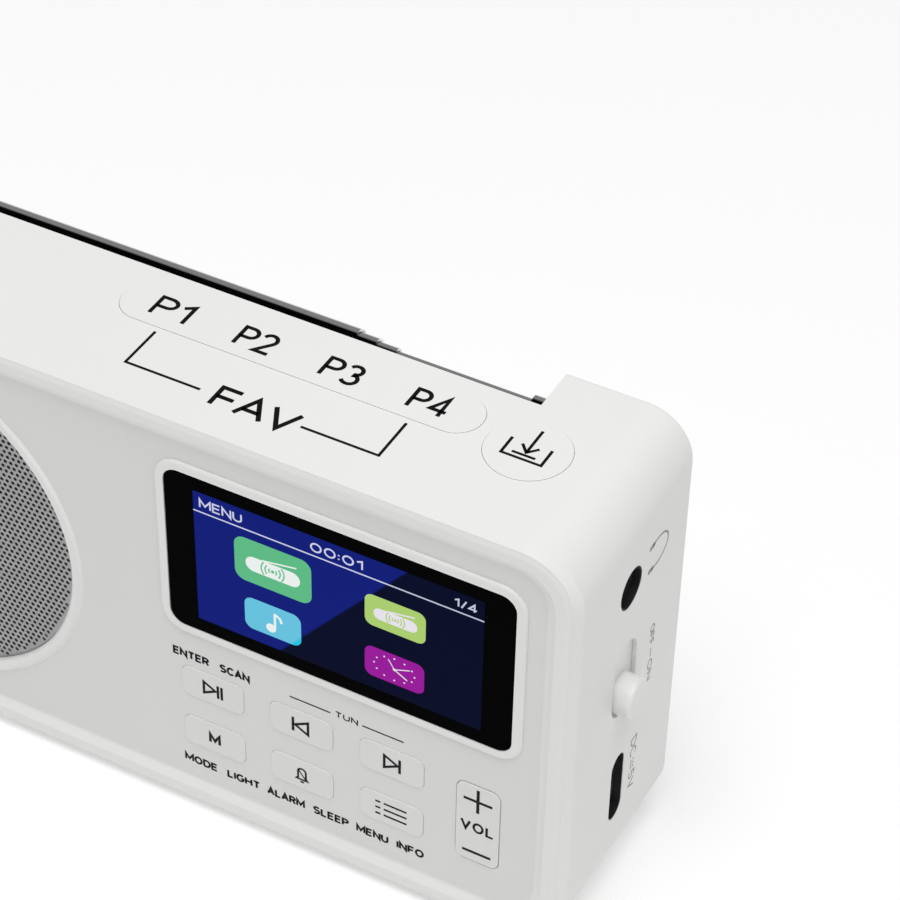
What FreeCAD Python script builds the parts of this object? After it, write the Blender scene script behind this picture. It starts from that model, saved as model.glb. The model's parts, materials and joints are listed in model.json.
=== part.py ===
import FreeCAD, Part
import os
import Sketcher

# Tabletop radio: a white plastic case with a round speaker grille, a small
# colour display, flush keys and a telescopic antenna stowed in its top edge.
# Millimetres. +X is the user's right, +Y the back, +Z up. The case rests on
# its feet at Z = 0, and the origin is under the middle of the whole object.

DIMENSIONS = {
    # case
    "case_width": 143.0,
    "case_height": 72.0,
    "case_depth": 32.5,
    "front_top_corner": 8.5,
    "front_low_corner": 10.3,
    "rear_top_corner": 7.0,
    "rear_low_corner": 9.0,
    "case_wall": 2.0,
    "front_edge_slope": 1.1,
    "front_edge_set_back": 0.15,
    "rear_edge_round": 0.5,
    "cover_corner": 5.0,
    "cover_seam": 0.1,
    "cover_boss_length": 8.0,
    "cover_pilot_depth": 7.0,
    "cover_screw_length": 6.5,
    "counterbore_radius": 2.4,
    "counterbore_depth": 1.1,
    "sound_slot_width": 1.6,
    "sound_slot_height": 16.0,
    "rim_seam_inset": 1.25,
    "ledge_width": 1.2,
    "ledge_depth": 1.5,
    "foot_height": 0.8,
    "foot_radius": 3.5,
    "foot_recess": 0.7,
    "foot_inset": 14.0,
    # front panel
    "panel_thickness": 2.8,
    "panel_seam": 0.005,
    "rim_width": 3.3,
    "rim_slope_width": 0.75,
    "rim_slope_depth": 0.15,
    "dish_corner_extra": 0.9,
    "dish_wall_lean": 60,
    "ring_seat_gap": 0.05,
    "dish_edge_round": 2.0,
    "face_recess": 0.8,
    "panel_boss_radius": 2.4,
    # display
    "lens_width": 51.7,
    "lens_height": 27.55,
    "lens_corner": 2.3,
    "lens_thickness": 1.1,
    "lens_centre_x": 36.85,
    "lens_centre_up": 48.64,
    "lens_proud": 0.35,
    "lip_width": 1.5,
    "lip_proud": 0.45,
    "lcd_width": 49.0,
    "lcd_height": 25.8,
    "lcd_thickness": 1.9,
    "gasket_thickness": 0.4,
    "gasket_band": 2.2,
    "window_clearance": 0.4,
    # speaker
    "speaker_x": -33.05,
    "grille_radius": 27.7,
    "grille_thickness": 0.6,
    "grille_depth": 0.7,
    "ring_outer": 29.6,
    "ring_proud": 0.4,
    "speaker_frame_size": 62.0,
    "speaker_depth": 12.0,
    "speaker_hole_spacing": 53.0,
    "magnet_radius": 16.0,
    "magnet_thickness": 7.0,
    # keys on the front
    "key_width": 9.8,
    "key_height": 5.5,
    "key_corner": 1.3,
    "key_gap": 0.04,
    "key_proud": 0.16,
    "key_edge_round": 0.13,
    "key_flange": 0.8,
    "key_flange_depth": 0.7,
    "key_travel": 0.5,
    "key_column_pitch": 14.0,
    "key_row_pitch": 9.55,
    "key_first_x": 17.0,
    "key_top_row_up": 23.95,
    "rocker_x": 58.1,
    "rocker_up": 18.85,
    "rocker_width": 6.5,
    "rocker_height": 14.6,
    "rocker_end_gap": 0.2,
    "rocker_pin_radius": 0.8,
    "rocker_ear_offset": 5.6,
    "rocker_ear_thickness": 1.4,
    "rocker_ear_depth": 2.6,
    "flange_play": 0.05,
    "stem_radius": 1.2,
    "push_switch_height": 2.2,
    # keys on the top
    "strip_length": 54.0,
    "strip_width": 7.8,
    "strip_x": 21.2,
    "strip_y": 1.95,
    "preset_pitch": 12.9,
    "save_radius": 5.8,
    "save_x": 55.6,
    "save_y": 0.0,
    "top_key_gap": 0.06,
    "top_key_edge_round": 0.06,
    "top_key_proud": 0.1,
    "top_flange_thickness": 0.8,
    "top_board_drop": 3.6,
    "top_switch_height": 2.0,
    "top_stem_gap": 0.48,
    # right side
    "side_y": -1.05,
    "jack_hole_radius": 3.08,
    "jack_up": 56.5,
    "jack_bore_radius": 1.8,
    "jack_bore_depth": 12.0,
    "jack_back": 57.4,
    "jack_block_end": 69.3,
    "jack_mouth_depth": 1.1,
    "sleeve_set_back": 0.06,
    "sleeve_gap": 0.04,
    "usb_slot_length": 11.94,
    "usb_slot_width": 3.81,
    "usb_up": 19.84,
    "usb_shell_start": 62.0,
    "usb_shell_end": 70.3,
    "usb_shell_width": 3.26,
    "usb_shell_length": 8.94,
    "usb_shell_wall": 0.3,
    "usb_sleeve_wall": 0.18,
    "usb_sleeve_floor": 0.4,
    "switch_slot_length": 12.35,
    "switch_slot_width": 6.9,
    "switch_slot_bottom": 34.2,
    "knob_radius": 2.95,
    "knob_proud": 2.3,
    "knob_edge_round": 0.6,
    "knob_play": 0.03,
    "slot_wall": 0.65,
    "slot_edge_round": 0.1,
    "knob_plate_width": 8.0,
    "knob_plate_length": 18.5,
    "knob_plate_thickness": 0.8,
    "knob_seat_width": 8.4,
    "knob_seat_length": 24.3,
    # antenna and its trough
    "trough_front": 8.7,
    "trough_depth": 7.0,
    "trough_left": -63.0,
    "trough_right": 53.0,
    "trough_wall": 1.6,
    "antenna_y": 11.95,
    "antenna_drop": 3.77,
    "pivot_x": -58.5,
    "swivel_play": 0.1,
    "tube_outer_radius": 2.15,
    "tube_middle_radius": 1.76,
    "tube_inner_radius": 1.38,
    "rod_radius": 1.0,
    "tip_radius": 1.65,
    "tube_wall": 0.31,
    "tube_outer_end": 24.3,
    "tube_middle_end": 27.2,
    "tube_inner_end": 30.2,
    "tip_start": 50.3,
    "tip_length": 2.3,
    # boards and battery
    "board_thickness": 1.2,
    "key_board_front": -9.55,
    "main_board_front": 1.5,
    "standoff_radius": 1.8,
    "stud_radius": 0.9,
    "stud_clearance": 0.05,
    "cover_screw_radius": 1.2,
    "boss_radius": 3.0,
}

doc = FreeCAD.newDocument("tabletop_radio")
sheet = doc.addObject("Spreadsheet::Sheet", "Dimensions")
PIECES = []
START_X = {}


class Size:
    """A length held as a number together with its spreadsheet expression."""

    def __init__(self, number, text):
        self.number = number
        self.text = text

    def __add__(self, other):
        other = size(other)
        return Size(self.number + other.number, f"({self.text} + {other.text})")

    def __radd__(self, other):
        return size(other) + self

    def __sub__(self, other):
        other = size(other)
        return Size(self.number - other.number, f"({self.text} - {other.text})")

    def __rsub__(self, other):
        return size(other) - self

    def __mul__(self, factor):
        return Size(self.number * factor, f"({self.text} * {factor})")

    def __rmul__(self, factor):
        return self * factor

    def __truediv__(self, divisor):
        return Size(self.number / divisor, f"({self.text} / {divisor})")

    def __neg__(self):
        return Size(-self.number, f"(-1 * {self.text})")


def size(value):
    if isinstance(value, Size):
        return value
    return Size(float(value), f"({float(value)})")


def fill_sheet():
    sizes = {}
    for row, (name, number) in enumerate(DIMENSIONS.items(), start=1):
        sheet.set(f"A{row}", name)
        sheet.set(f"B{row}", str(number))
        sheet.setAlias(f"B{row}", name)
        sizes[name] = Size(number, f"Dimensions.{name}")
    doc.recompute()
    return sizes


D = fill_sheet()

# Levels and lines that several pieces share.
CASE_BOTTOM = D["foot_height"]
CASE_TOP = D["foot_height"] + D["case_height"]
CASE_MIDDLE = D["foot_height"] + D["case_height"] / 2
CASE_FRONT = -D["case_depth"] / 2
CASE_BACK = D["case_depth"] / 2
HOUSING_FRONT = CASE_FRONT + D["front_edge_set_back"]
CASE_RIGHT = D["case_width"] / 2
INNER_WIDTH = D["case_width"] - 2 * D["case_wall"]
INNER_HEIGHT = D["case_height"] - 2 * D["case_wall"]
INNER_TOP_CORNER = D["front_top_corner"] - D["case_wall"]
INNER_LOW_CORNER = D["front_low_corner"] - D["case_wall"]
FACE = CASE_FRONT + D["face_recess"]
PANEL_BACK = CASE_FRONT + D["panel_thickness"]
LEDGE_BACK = PANEL_BACK + D["ledge_depth"]
LENS_FRONT = FACE - D["lens_proud"]
LENS_BACK = LENS_FRONT + D["lens_thickness"]
LENS_Z = D["foot_height"] + D["lens_centre_up"]
GRILLE_FRONT = FACE + D["grille_depth"]
KEY_FRONT = FACE - D["key_proud"]
TOP_INNER = CASE_TOP - D["case_wall"]
COVER_FRONT = CASE_BACK - D["case_wall"]
TROUGH_FLOOR = CASE_TOP - D["trough_depth"]
TROUGH_UNDER = TROUGH_FLOOR - D["trough_wall"]
COVER_TOP = TROUGH_UNDER - 0.8
SIDE_INNER = CASE_RIGHT - D["case_wall"]
ANTENNA_Z = CASE_TOP - D["antenna_drop"]
KEY_BOARD_BACK = D["key_board_front"] + D["board_thickness"]
MAIN_BOARD_BACK = D["main_board_front"] + D["board_thickness"]
PLUNGER_TIP = D["key_board_front"] - D["push_switch_height"]
KNOB_Z = D["foot_height"] + D["switch_slot_bottom"] + D["switch_slot_width"] / 2
KNOB_PLATE_Z = KNOB_Z + 0.1
KNOB_SEAT_Z = KNOB_PLATE_Z + D["knob_seat_length"] / 2 - D["knob_plate_length"] / 2 - 0.2
JACK_FACE = CASE_RIGHT - D["sleeve_set_back"] - D["jack_mouth_depth"]
JACK_Z = D["foot_height"] + D["jack_up"]
USB_Z = D["foot_height"] + D["usb_up"]
BOARD_HOLES = [(x, z) for x in (size(10.5), size(64.5)) for z in (size(9.3), size(32.3))]
TOP_BOARD_HOLES = (size(-9.4), size(65.2))
TOP_BOARD_TOP = TOP_INNER - D["top_board_drop"]
COVER_SCREWS = [(x, z) for x in (size(-65.3), size(65.3)) for z in (size(7.6), size(57.6))]
FOOT_SPOTS = [
    (side * (CASE_RIGHT - D["foot_inset"]), end * size(9.0)) for side in (-1, 1) for end in (-1, 1)
]


# ---------------------------------------------------------------- helpers
def place(thing, expressions):
    """Bind the placement's coordinates of a Part primitive."""
    START_X[thing.Name] = size(expressions[0])
    for axis, value in zip("xyz", expressions):
        thing.setExpression(f"Placement.Base.{axis}", size(value).text)


def box(name, low, extent):
    thing = doc.addObject("Part::Box", name)
    for side, value in zip(("Length", "Width", "Height"), extent):
        thing.setExpression(side, size(value).text)
    place(thing, low)
    return thing


TURN_TO_AXIS = {
    "X": FreeCAD.Rotation(FreeCAD.Vector(0, 1, 0), 90),
    "Y": FreeCAD.Rotation(FreeCAD.Vector(1, 0, 0), -90),
    "Z": FreeCAD.Rotation(),
}


def cylinder(name, axis, start, radius, length):
    """A cylinder that runs from start along the positive axis."""
    thing = doc.addObject("Part::Cylinder", name)
    thing.setExpression("Radius", size(radius).text)
    thing.setExpression("Height", size(length).text)
    thing.Placement = FreeCAD.Placement(FreeCAD.Vector(), TURN_TO_AXIS[axis])
    place(thing, start)
    return thing


def fuse(name, shapes):
    thing = doc.addObject("Part::MultiFuse", name)
    thing.Shapes = shapes
    return thing


def cut(name, base, tool):
    thing = doc.addObject("Part::Cut", name)
    thing.Base = base
    thing.Tool = tool
    return thing


def group(name, shapes):
    """Separate solids of one kind kept together in one node."""
    thing = doc.addObject("Part::Compound", name)
    thing.Links = shapes
    return thing


def new_body(name):
    return doc.addObject("PartDesign::Body", name)


def origin_plane(body, role):
    return next(item for item in body.Origin.OriginFeatures if item.Role == role)


def sketch_on(body, name, role, offset):
    """A sketch on one of the body's origin planes, moved by a bound offset."""
    sketch = body.newObject("Sketcher::SketchObject", name)
    sketch.AttachmentSupport = (origin_plane(body, role), [""])
    sketch.MapMode = "FlatFace"
    for axis, value in zip("xyz", offset):
        sketch.setExpression(f"AttachmentOffset.Base.{axis}", size(value).text)
    return sketch


def front_sketch(body, name, x, y, z):
    """A sketch in a plane facing the front, centred on x, z at depth y."""
    return sketch_on(body, name, "XZ_Plane", (x, z, -size(y)))


def top_sketch(body, name, x, y, z):
    return sketch_on(body, name, "XY_Plane", (x, y, z))


def side_sketch(body, name, x, y, z):
    return sketch_on(body, name, "YZ_Plane", (y, z, x))


def bind(sketch, constraint, value):
    index = sketch.addConstraint(constraint)
    sketch.setExpression(f"Constraints[{index}]", size(value).text)


def draw_circle(sketch, radius):
    radius = size(radius)
    centre = FreeCAD.Vector()
    edge = sketch.addGeometry(Part.Circle(centre, FreeCAD.Vector(0, 0, 1), radius.number))
    sketch.addConstraint(Sketcher.Constraint("Coincident", edge, 3, -1, 1))
    bind(sketch, Sketcher.Constraint("Radius", edge, radius.number), radius)


def draw_rounded_rectangle(sketch, width, height, corner, low_corner=None):
    """A rectangle centred on the sketch's origin; its two lower corners may be rounder."""
    width, height, corner = size(width), size(height), size(corner)
    low_corner = corner if low_corner is None else size(low_corner)
    half_w, half_h = width.number / 2, height.number / 2
    r, low = corner.number, low_corner.number
    point = FreeCAD.Vector
    runs = [
        (point(-half_w + low, -half_h), point(half_w - low, -half_h)),
        (point(half_w, -half_h + low), point(half_w, half_h - r)),
        (point(half_w - r, half_h), point(-half_w + r, half_h)),
        (point(-half_w, half_h - r), point(-half_w, -half_h + low)),
    ]
    lines = [sketch.addGeometry(Part.LineSegment(first, last)) for first, last in runs]
    arcs = []
    for index, (side_x, side_y) in enumerate(((1, -1), (1, 1), (-1, 1), (-1, -1))):
        radius = low if side_y < 0 else r
        inset = radius * (1 - 0.5 ** 0.5)
        middle = point(side_x * (half_w - inset), side_y * (half_h - inset))
        arc = Part.Arc(runs[index][1], middle, runs[(index + 1) % 4][0])
        arcs.append(sketch.addGeometry(arc))
    for index in range(4):
        following = lines[(index + 1) % 4]
        sketch.addConstraint(Sketcher.Constraint("Tangent", lines[index], 2, arcs[index], 1))
        sketch.addConstraint(Sketcher.Constraint("Tangent", arcs[index], 2, following, 1))
    for index in (0, 2):
        sketch.addConstraint(Sketcher.Constraint("Horizontal", lines[index]))
        sketch.addConstraint(Sketcher.Constraint("Vertical", lines[index + 1]))
    sketch.addConstraint(Sketcher.Constraint("Equal", arcs[0], arcs[3]))
    sketch.addConstraint(Sketcher.Constraint("Equal", arcs[1], arcs[2]))
    bind(sketch, Sketcher.Constraint("Radius", arcs[0], low), low_corner)
    bind(sketch, Sketcher.Constraint("Radius", arcs[1], r), corner)
    bind(sketch, Sketcher.Constraint("DistanceX", -1, 1, lines[1], 1, half_w), width / 2)
    bind(sketch, Sketcher.Constraint("DistanceX", lines[3], 1, -1, 1, half_w), width / 2)
    bind(sketch, Sketcher.Constraint("DistanceY", -1, 1, lines[2], 1, half_h), height / 2)
    bind(sketch, Sketcher.Constraint("DistanceY", lines[0], 1, -1, 1, half_h), height / 2)


def draw_polygon(sketch, corners):
    """A closed outline whose corners are bound to sizes from the sketch's origin."""
    corners = [(size(x), size(y)) for x, y in corners]
    points = [FreeCAD.Vector(x.number, y.number) for x, y in corners]
    count = len(points)
    lines = [
        sketch.addGeometry(Part.LineSegment(points[i], points[(i + 1) % count]))
        for i in range(count)
    ]
    for i in range(count):
        following = lines[(i + 1) % count]
        sketch.addConstraint(Sketcher.Constraint("Coincident", lines[i], 2, following, 1))
    for line, (x, y) in zip(lines, corners):
        bind(sketch, Sketcher.Constraint("DistanceX", -1, 1, line, 1, x.number), x)
        bind(sketch, Sketcher.Constraint("DistanceY", -1, 1, line, 1, y.number), y)


def pad(body, sketch, length, backward=False):
    """Add material along the sketch's normal, or against it."""
    feature = body.newObject("PartDesign::Pad", sketch.Name + "_pad")
    feature.Profile = sketch
    feature.setExpression("Length", size(length).text)
    feature.Reversed = backward
    return feature


def pocket(body, sketch, length, backward=False, lean=0.0):
    """Cut against the sketch's normal, or along it, with walls that lean in by an angle."""
    feature = body.newObject("PartDesign::Pocket", sketch.Name + "_pocket")
    feature.Profile = sketch
    feature.setExpression("Length", size(length).text)
    feature.setExpression("TaperAngle", size(lean).text)
    feature.Reversed = backward
    return feature


def revolve(body, sketch):
    feature = body.newObject("PartDesign::Revolution", sketch.Name + "_turn")
    feature.Profile = sketch
    feature.ReferenceAxis = (sketch, ["V_Axis"])
    feature.Angle = 360.0
    return feature


def edges_at(feature, axis, level, reach=None):
    """Names of the edges that lie in the plane axis = level and whose points pass reach."""
    doc.recompute()
    position = {"X": 0, "Y": 1, "Z": 2}[axis]
    names = []
    for index, edge in enumerate(feature.Shape.Edges, start=1):
        points = [edge.valueAt(edge.FirstParameter), edge.valueAt(edge.LastParameter)]
        points.append(edge.valueAt((edge.FirstParameter + edge.LastParameter) / 2))
        if any(abs(point[position] - size(level).number) > 0.001 for point in points):
            continue
        if reach is None or all(reach(point) for point in points):
            names.append(f"Edge{index}")
    return names


def round_edges(body, feature, axis, level, radius, reach=None):
    fillet = body.newObject("PartDesign::Fillet", feature.Name + "_round")
    fillet.Base = (feature, edges_at(feature, axis, level, reach))
    fillet.setExpression("Radius", size(radius).text)
    return fillet


def chamfer_edges(body, feature, edges, depth, width):
    """Slope the named edges: depth down the side wall, width across the face they bound."""
    chamfer = body.newObject("PartDesign::Chamfer", feature.Name + "_slope")
    chamfer.Base = (feature, edges)
    chamfer.ChamferType = "Two distances"
    chamfer.setExpression("Size", size(depth).text)
    chamfer.setExpression("Size2", size(width).text)
    return chamfer


def piece(thing, label):
    """Register a finished sub-part and set it in the object's frame.

    The pieces are drawn about the case's own middle. The switch knob stands
    out on the right, so all of them are moved left by half of that.
    """
    thing.Label = label
    start = START_X.get(thing.Name, size(0))
    thing.setExpression("Placement.Base.x", (start - D["knob_proud"] / 2).text)
    PIECES.append(thing)
    return thing


# ---------------------------------------------------------------- case
def housing():
    body = new_body("housing")
    width, height = D["case_width"], D["case_height"]
    rear = front_sketch(body, "housing_rear_outline", 0, CASE_BACK, CASE_MIDDLE)
    draw_rounded_rectangle(rear, width, height, D["rear_top_corner"], D["rear_low_corner"])
    slope = D["front_edge_slope"]
    top_corner, low_corner = D["front_top_corner"], D["front_low_corner"]
    front = front_sketch(body, "housing_front_outline", 0, HOUSING_FRONT + slope, CASE_MIDDLE)
    draw_rounded_rectangle(front, width, height, top_corner, low_corner)
    lip = front_sketch(body, "housing_lip_outline", 0, HOUSING_FRONT, CASE_MIDDLE)
    draw_rounded_rectangle(
        lip, width - 2 * slope, height - 2 * slope, top_corner - slope, low_corner - slope
    )
    shell = body.newObject("PartDesign::AdditiveLoft", "housing_shell")
    shell.Profile = rear
    shell.Sections = [front, lip]
    shell.Ruled = True
    round_edges(body, shell, "Y", CASE_BACK, D["rear_edge_round"])

    seat = front_sketch(body, "panel_seat", 0, HOUSING_FRONT, CASE_MIDDLE)
    inset = D["rim_seam_inset"]
    draw_rounded_rectangle(
        seat,
        width - 2 * inset,
        height - 2 * inset,
        D["front_top_corner"] - inset,
        D["front_low_corner"] - inset,
    )
    pocket(body, seat, PANEL_BACK - HOUSING_FRONT)
    throat = front_sketch(body, "ledge_opening", 0, PANEL_BACK, CASE_MIDDLE)
    ledge = D["ledge_width"]
    draw_rounded_rectangle(
        throat,
        INNER_WIDTH - 2 * ledge,
        INNER_HEIGHT - 2 * ledge,
        INNER_TOP_CORNER - ledge,
        INNER_LOW_CORNER - ledge,
    )
    pocket(body, throat, D["ledge_depth"])
    cavity = front_sketch(body, "cavity", 0, LEDGE_BACK, CASE_MIDDLE)
    draw_rounded_rectangle(cavity, INNER_WIDTH, INNER_HEIGHT, INNER_TOP_CORNER, INNER_LOW_CORNER)
    pocket(body, cavity, COVER_FRONT - LEDGE_BACK)

    housing_trough(body)
    housing_rear_opening(body)
    housing_cover_bosses(body)
    housing_top_openings(body)
    housing_side_openings(body)
    housing_foot_recesses(body)
    return piece(body, "housing")


def housing_trough(body):
    """The antenna's trough, open to the top and to the back."""
    wall = D["trough_wall"]
    length = D["trough_right"] - D["trough_left"]
    middle = (D["trough_right"] + D["trough_left"]) / 2
    block = side_sketch(body, "trough_block", D["trough_left"] - wall, 0, 0)
    draw_polygon(
        block,
        [
            (D["trough_front"] - wall, TROUGH_UNDER),
            (COVER_FRONT, TROUGH_UNDER),
            (COVER_FRONT, TOP_INNER),
            (D["trough_front"] - wall, TOP_INNER),
        ],
    )
    pad(body, block, length + 2 * wall)
    trough = top_sketch(body, "trough", middle, CASE_BACK, CASE_TOP)
    draw_polygon(
        trough,
        [
            (-length / 2, D["trough_front"] - CASE_BACK),
            (length / 2, D["trough_front"] - CASE_BACK),
            (length / 2, 1.0),
            (-length / 2, 1.0),
        ],
    )
    pocket(body, trough, D["trough_depth"])
    hole = top_sketch(body, "swivel_hole", D["pivot_x"], D["antenna_y"], TROUGH_FLOOR)
    draw_circle(hole, 1.57)
    pocket(body, hole, wall)


def housing_rear_opening(body):
    """The opening that the rear cover closes, below the trough."""
    height = COVER_TOP - CASE_BOTTOM - D["case_wall"]
    middle = CASE_BOTTOM + D["case_wall"] + height / 2
    opening = front_sketch(body, "rear_opening", 0, CASE_BACK, middle)
    draw_rounded_rectangle(opening, INNER_WIDTH, height, D["cover_corner"])
    pocket(body, opening, D["case_wall"] + 0.5, backward=True)


def housing_cover_bosses(body):
    for index, (x, z) in enumerate(COVER_SCREWS):
        boss = front_sketch(body, f"cover_boss_{index}", x, COVER_FRONT, z)
        draw_circle(boss, D["boss_radius"])
        pad(body, boss, D["cover_boss_length"])
        side = 1 if x.number > 0 else -1
        rib = front_sketch(body, f"cover_boss_rib_{index}", x + side * size(2.8), COVER_FRONT, z)
        draw_rounded_rectangle(rib, 3.6, 2.4, 0.4)
        pad(body, rib, D["cover_boss_length"])
        pilot = front_sketch(body, f"cover_pilot_{index}", x, COVER_FRONT, z)
        draw_circle(pilot, D["cover_screw_radius"] + D["stud_clearance"])
        pocket(body, pilot, D["cover_pilot_depth"], backward=True)


def housing_top_openings(body):
    gap = D["top_key_gap"]
    strip = top_sketch(body, "strip_opening", D["strip_x"], D["strip_y"], CASE_TOP)
    width = D["strip_width"] + 2 * gap
    draw_rounded_rectangle(strip, D["strip_length"] + 2 * gap, width, width / 2 - 0.01)
    pocket(body, strip, D["case_wall"] + 0.1)
    save = top_sketch(body, "save_opening", D["save_x"], D["save_y"], CASE_TOP)
    draw_circle(save, D["save_radius"] + gap)
    pocket(body, save, D["case_wall"] + 0.1)
    for index, x in enumerate(TOP_BOARD_HOLES):
        post = top_sketch(body, f"top_board_post_{index}", x, 0, TOP_INNER)
        draw_circle(post, D["standoff_radius"])
        pad(body, post, D["top_board_drop"], backward=True)
        pilot = top_sketch(body, f"top_board_pilot_{index}", x, 0, TOP_BOARD_TOP)
        draw_circle(pilot, D["stud_radius"] + D["stud_clearance"])
        pocket(body, pilot, 3.0, backward=True)


def housing_side_openings(body):
    through = D["case_wall"] + 0.2
    jack = side_sketch(body, "jack_hole", CASE_RIGHT, D["side_y"], JACK_Z)
    draw_circle(jack, D["jack_hole_radius"])
    pocket(body, jack, through)
    usb = side_sketch(body, "usb_slot", CASE_RIGHT, D["side_y"], USB_Z)
    width = D["usb_slot_width"]
    draw_rounded_rectangle(usb, width, D["usb_slot_length"], width / 2 - 0.01)
    pocket(body, usb, through)
    middle = D["foot_height"] + D["switch_slot_bottom"] + D["switch_slot_length"] / 2
    slot = side_sketch(body, "switch_slot", CASE_RIGHT, D["side_y"], middle)
    width = D["switch_slot_width"]
    draw_rounded_rectangle(slot, width, D["switch_slot_length"], width / 2 - 0.01)
    opened = pocket(body, slot, through)

    def on_the_slot(point):
        return abs(point.z - middle.number) < D["switch_slot_length"].number / 2 + 0.2

    round_edges(body, opened, "X", CASE_RIGHT, D["slot_edge_round"], on_the_slot)
    seat = side_sketch(body, "switch_plate_seat", SIDE_INNER, D["side_y"], KNOB_SEAT_Z)
    draw_rounded_rectangle(seat, D["knob_seat_width"], D["knob_seat_length"], 0.5)
    pocket(body, seat, D["case_wall"] - D["slot_wall"], backward=True)


def housing_foot_recesses(body):
    for index, (x, y) in enumerate(FOOT_SPOTS):
        recess = top_sketch(body, f"foot_recess_{index}", x, y, CASE_BOTTOM)
        draw_circle(recess, D["foot_radius"] + 0.05)
        pocket(body, recess, D["foot_recess"], backward=True)


def rubber_feet():
    feet = [
        cylinder(f"foot_{i}", "Z", (x, y, 0), D["foot_radius"], D["foot_height"] + D["foot_recess"])
        for i, (x, y) in enumerate(FOOT_SPOTS)
    ]
    return piece(group("feet_group", feet), "rubber_feet")


def rear_cover():
    body = new_body("rear_cover")
    seam = D["cover_seam"]
    height = COVER_TOP - CASE_BOTTOM - D["case_wall"]
    middle = CASE_BOTTOM + D["case_wall"] + height / 2
    outline = front_sketch(body, "cover_outline", 0, CASE_BACK, middle)
    draw_rounded_rectangle(
        outline, INNER_WIDTH - 2 * seam, height - 2 * seam, D["cover_corner"] - seam
    )
    plate = pad(body, outline, D["case_wall"])
    round_edges(body, plate, "Y", CASE_BACK, 0.4)
    for index, (x, z) in enumerate(COVER_SCREWS):
        head = front_sketch(body, f"cover_counterbore_{index}", x, CASE_BACK, z)
        draw_circle(head, D["counterbore_radius"])
        pocket(body, head, D["counterbore_depth"], backward=True)
        shank = front_sketch(body, f"cover_hole_{index}", x, CASE_BACK, z)
        draw_circle(shank, D["cover_screw_radius"] + 0.15)
        pocket(body, shank, D["case_wall"], backward=True)
    slot = front_sketch(body, "sound_slot", D["speaker_x"] - 14.0, CASE_BACK, CASE_MIDDLE - 1.0)
    width = D["sound_slot_width"]
    draw_rounded_rectangle(slot, width, D["sound_slot_height"], width / 2 - 0.01)
    first = pocket(body, slot, D["case_wall"], backward=True)
    row = body.newObject("PartDesign::LinearPattern", "sound_slots")
    row.Originals = [first]
    row.Direction = (slot, ["H_Axis"])
    row.Length = 28.0
    row.Occurrences = 8
    body.Tip = row
    return piece(body, "rear_cover")


def case_screws():
    screws = []
    for index, (x, z) in enumerate(COVER_SCREWS):
        under_head = CASE_BACK - D["counterbore_depth"]
        head_radius = D["counterbore_radius"] - 0.2
        head = cylinder(f"cover_head_{index}", "Y", (x, under_head, z), head_radius, 0.9)
        length = D["cover_screw_length"]
        start = (x, under_head - length, z)
        shank = cylinder(f"cover_shank_{index}", "Y", start, D["cover_screw_radius"], length)
        floor = under_head + 0.4
        cross = box(f"cover_drive_{index}", (x - 1.3, floor, z - 0.25), (2.6, 1.0, 0.5))
        bar = box(f"cover_drive_bar_{index}", (x - 0.25, floor, z - 1.3), (0.5, 1.0, 2.6))
        solid = fuse(f"cover_screw_solid_{index}", [head, shank])
        drive = fuse(f"cover_drive_shape_{index}", [cross, bar])
        screws.append(cut(f"cover_screw_{index}", solid, drive))
    return piece(group("cover_screw_group", screws), "case_screws")


# ---------------------------------------------------------------- front panel
def key_spots():
    """Name and centre of each front key, from the top left to the bottom right."""
    names = (
        ("play_key", "mode_key"),
        ("tune_down_key", "alarm_key"),
        ("tune_up_key", "menu_key"),
    )
    spots = []
    for column, pair in enumerate(names):
        for row, name in enumerate(pair):
            x = D["key_first_x"] + column * D["key_column_pitch"]
            z = D["foot_height"] + D["key_top_row_up"] - row * D["key_row_pitch"]
            spots.append((name, x, z))
    return spots


ROCKER_Z = D["foot_height"] + D["rocker_up"]
ROCKER_PIVOT_Y = PANEL_BACK + 1.05
SPEAKER_SCREWS = [
    (
        D["speaker_x"] + side * D["speaker_hole_spacing"] / 2,
        CASE_MIDDLE + end * D["speaker_hole_spacing"] / 2,
    )
    for side in (-1, 1)
    for end in (-1, 1)
]


def front_panel():
    body = new_body("front_panel")
    inset = D["rim_seam_inset"] + D["panel_seam"]
    outline = front_sketch(body, "panel_outline", 0, PANEL_BACK, CASE_MIDDLE)
    draw_rounded_rectangle(
        outline,
        D["case_width"] - 2 * inset,
        D["case_height"] - 2 * inset,
        D["front_top_corner"] - inset,
        D["front_low_corner"] - inset,
    )
    plate = pad(body, outline, D["panel_thickness"])
    edges = edges_at(plate, "Y", CASE_FRONT)
    chamfer_edges(body, plate, edges, D["rim_slope_depth"], D["rim_slope_width"])
    rim = D["rim_width"]
    dish = front_sketch(body, "panel_dish", 0, CASE_FRONT, CASE_MIDDLE)
    draw_rounded_rectangle(
        dish,
        D["case_width"] - 2 * rim,
        D["case_height"] - 2 * rim,
        D["front_top_corner"] - rim + D["dish_corner_extra"],
        D["front_low_corner"] - rim + D["dish_corner_extra"],
    )
    dished = pocket(body, dish, D["face_recess"], lean=-D["dish_wall_lean"])
    round_edges(body, dished, "Y", FACE, D["dish_edge_round"])
    panel_display_window(body)
    panel_speaker_opening(body)
    panel_key_openings(body)
    panel_bosses(body)
    panel_rocker_ears(body)
    return piece(body, "front_panel")


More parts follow.
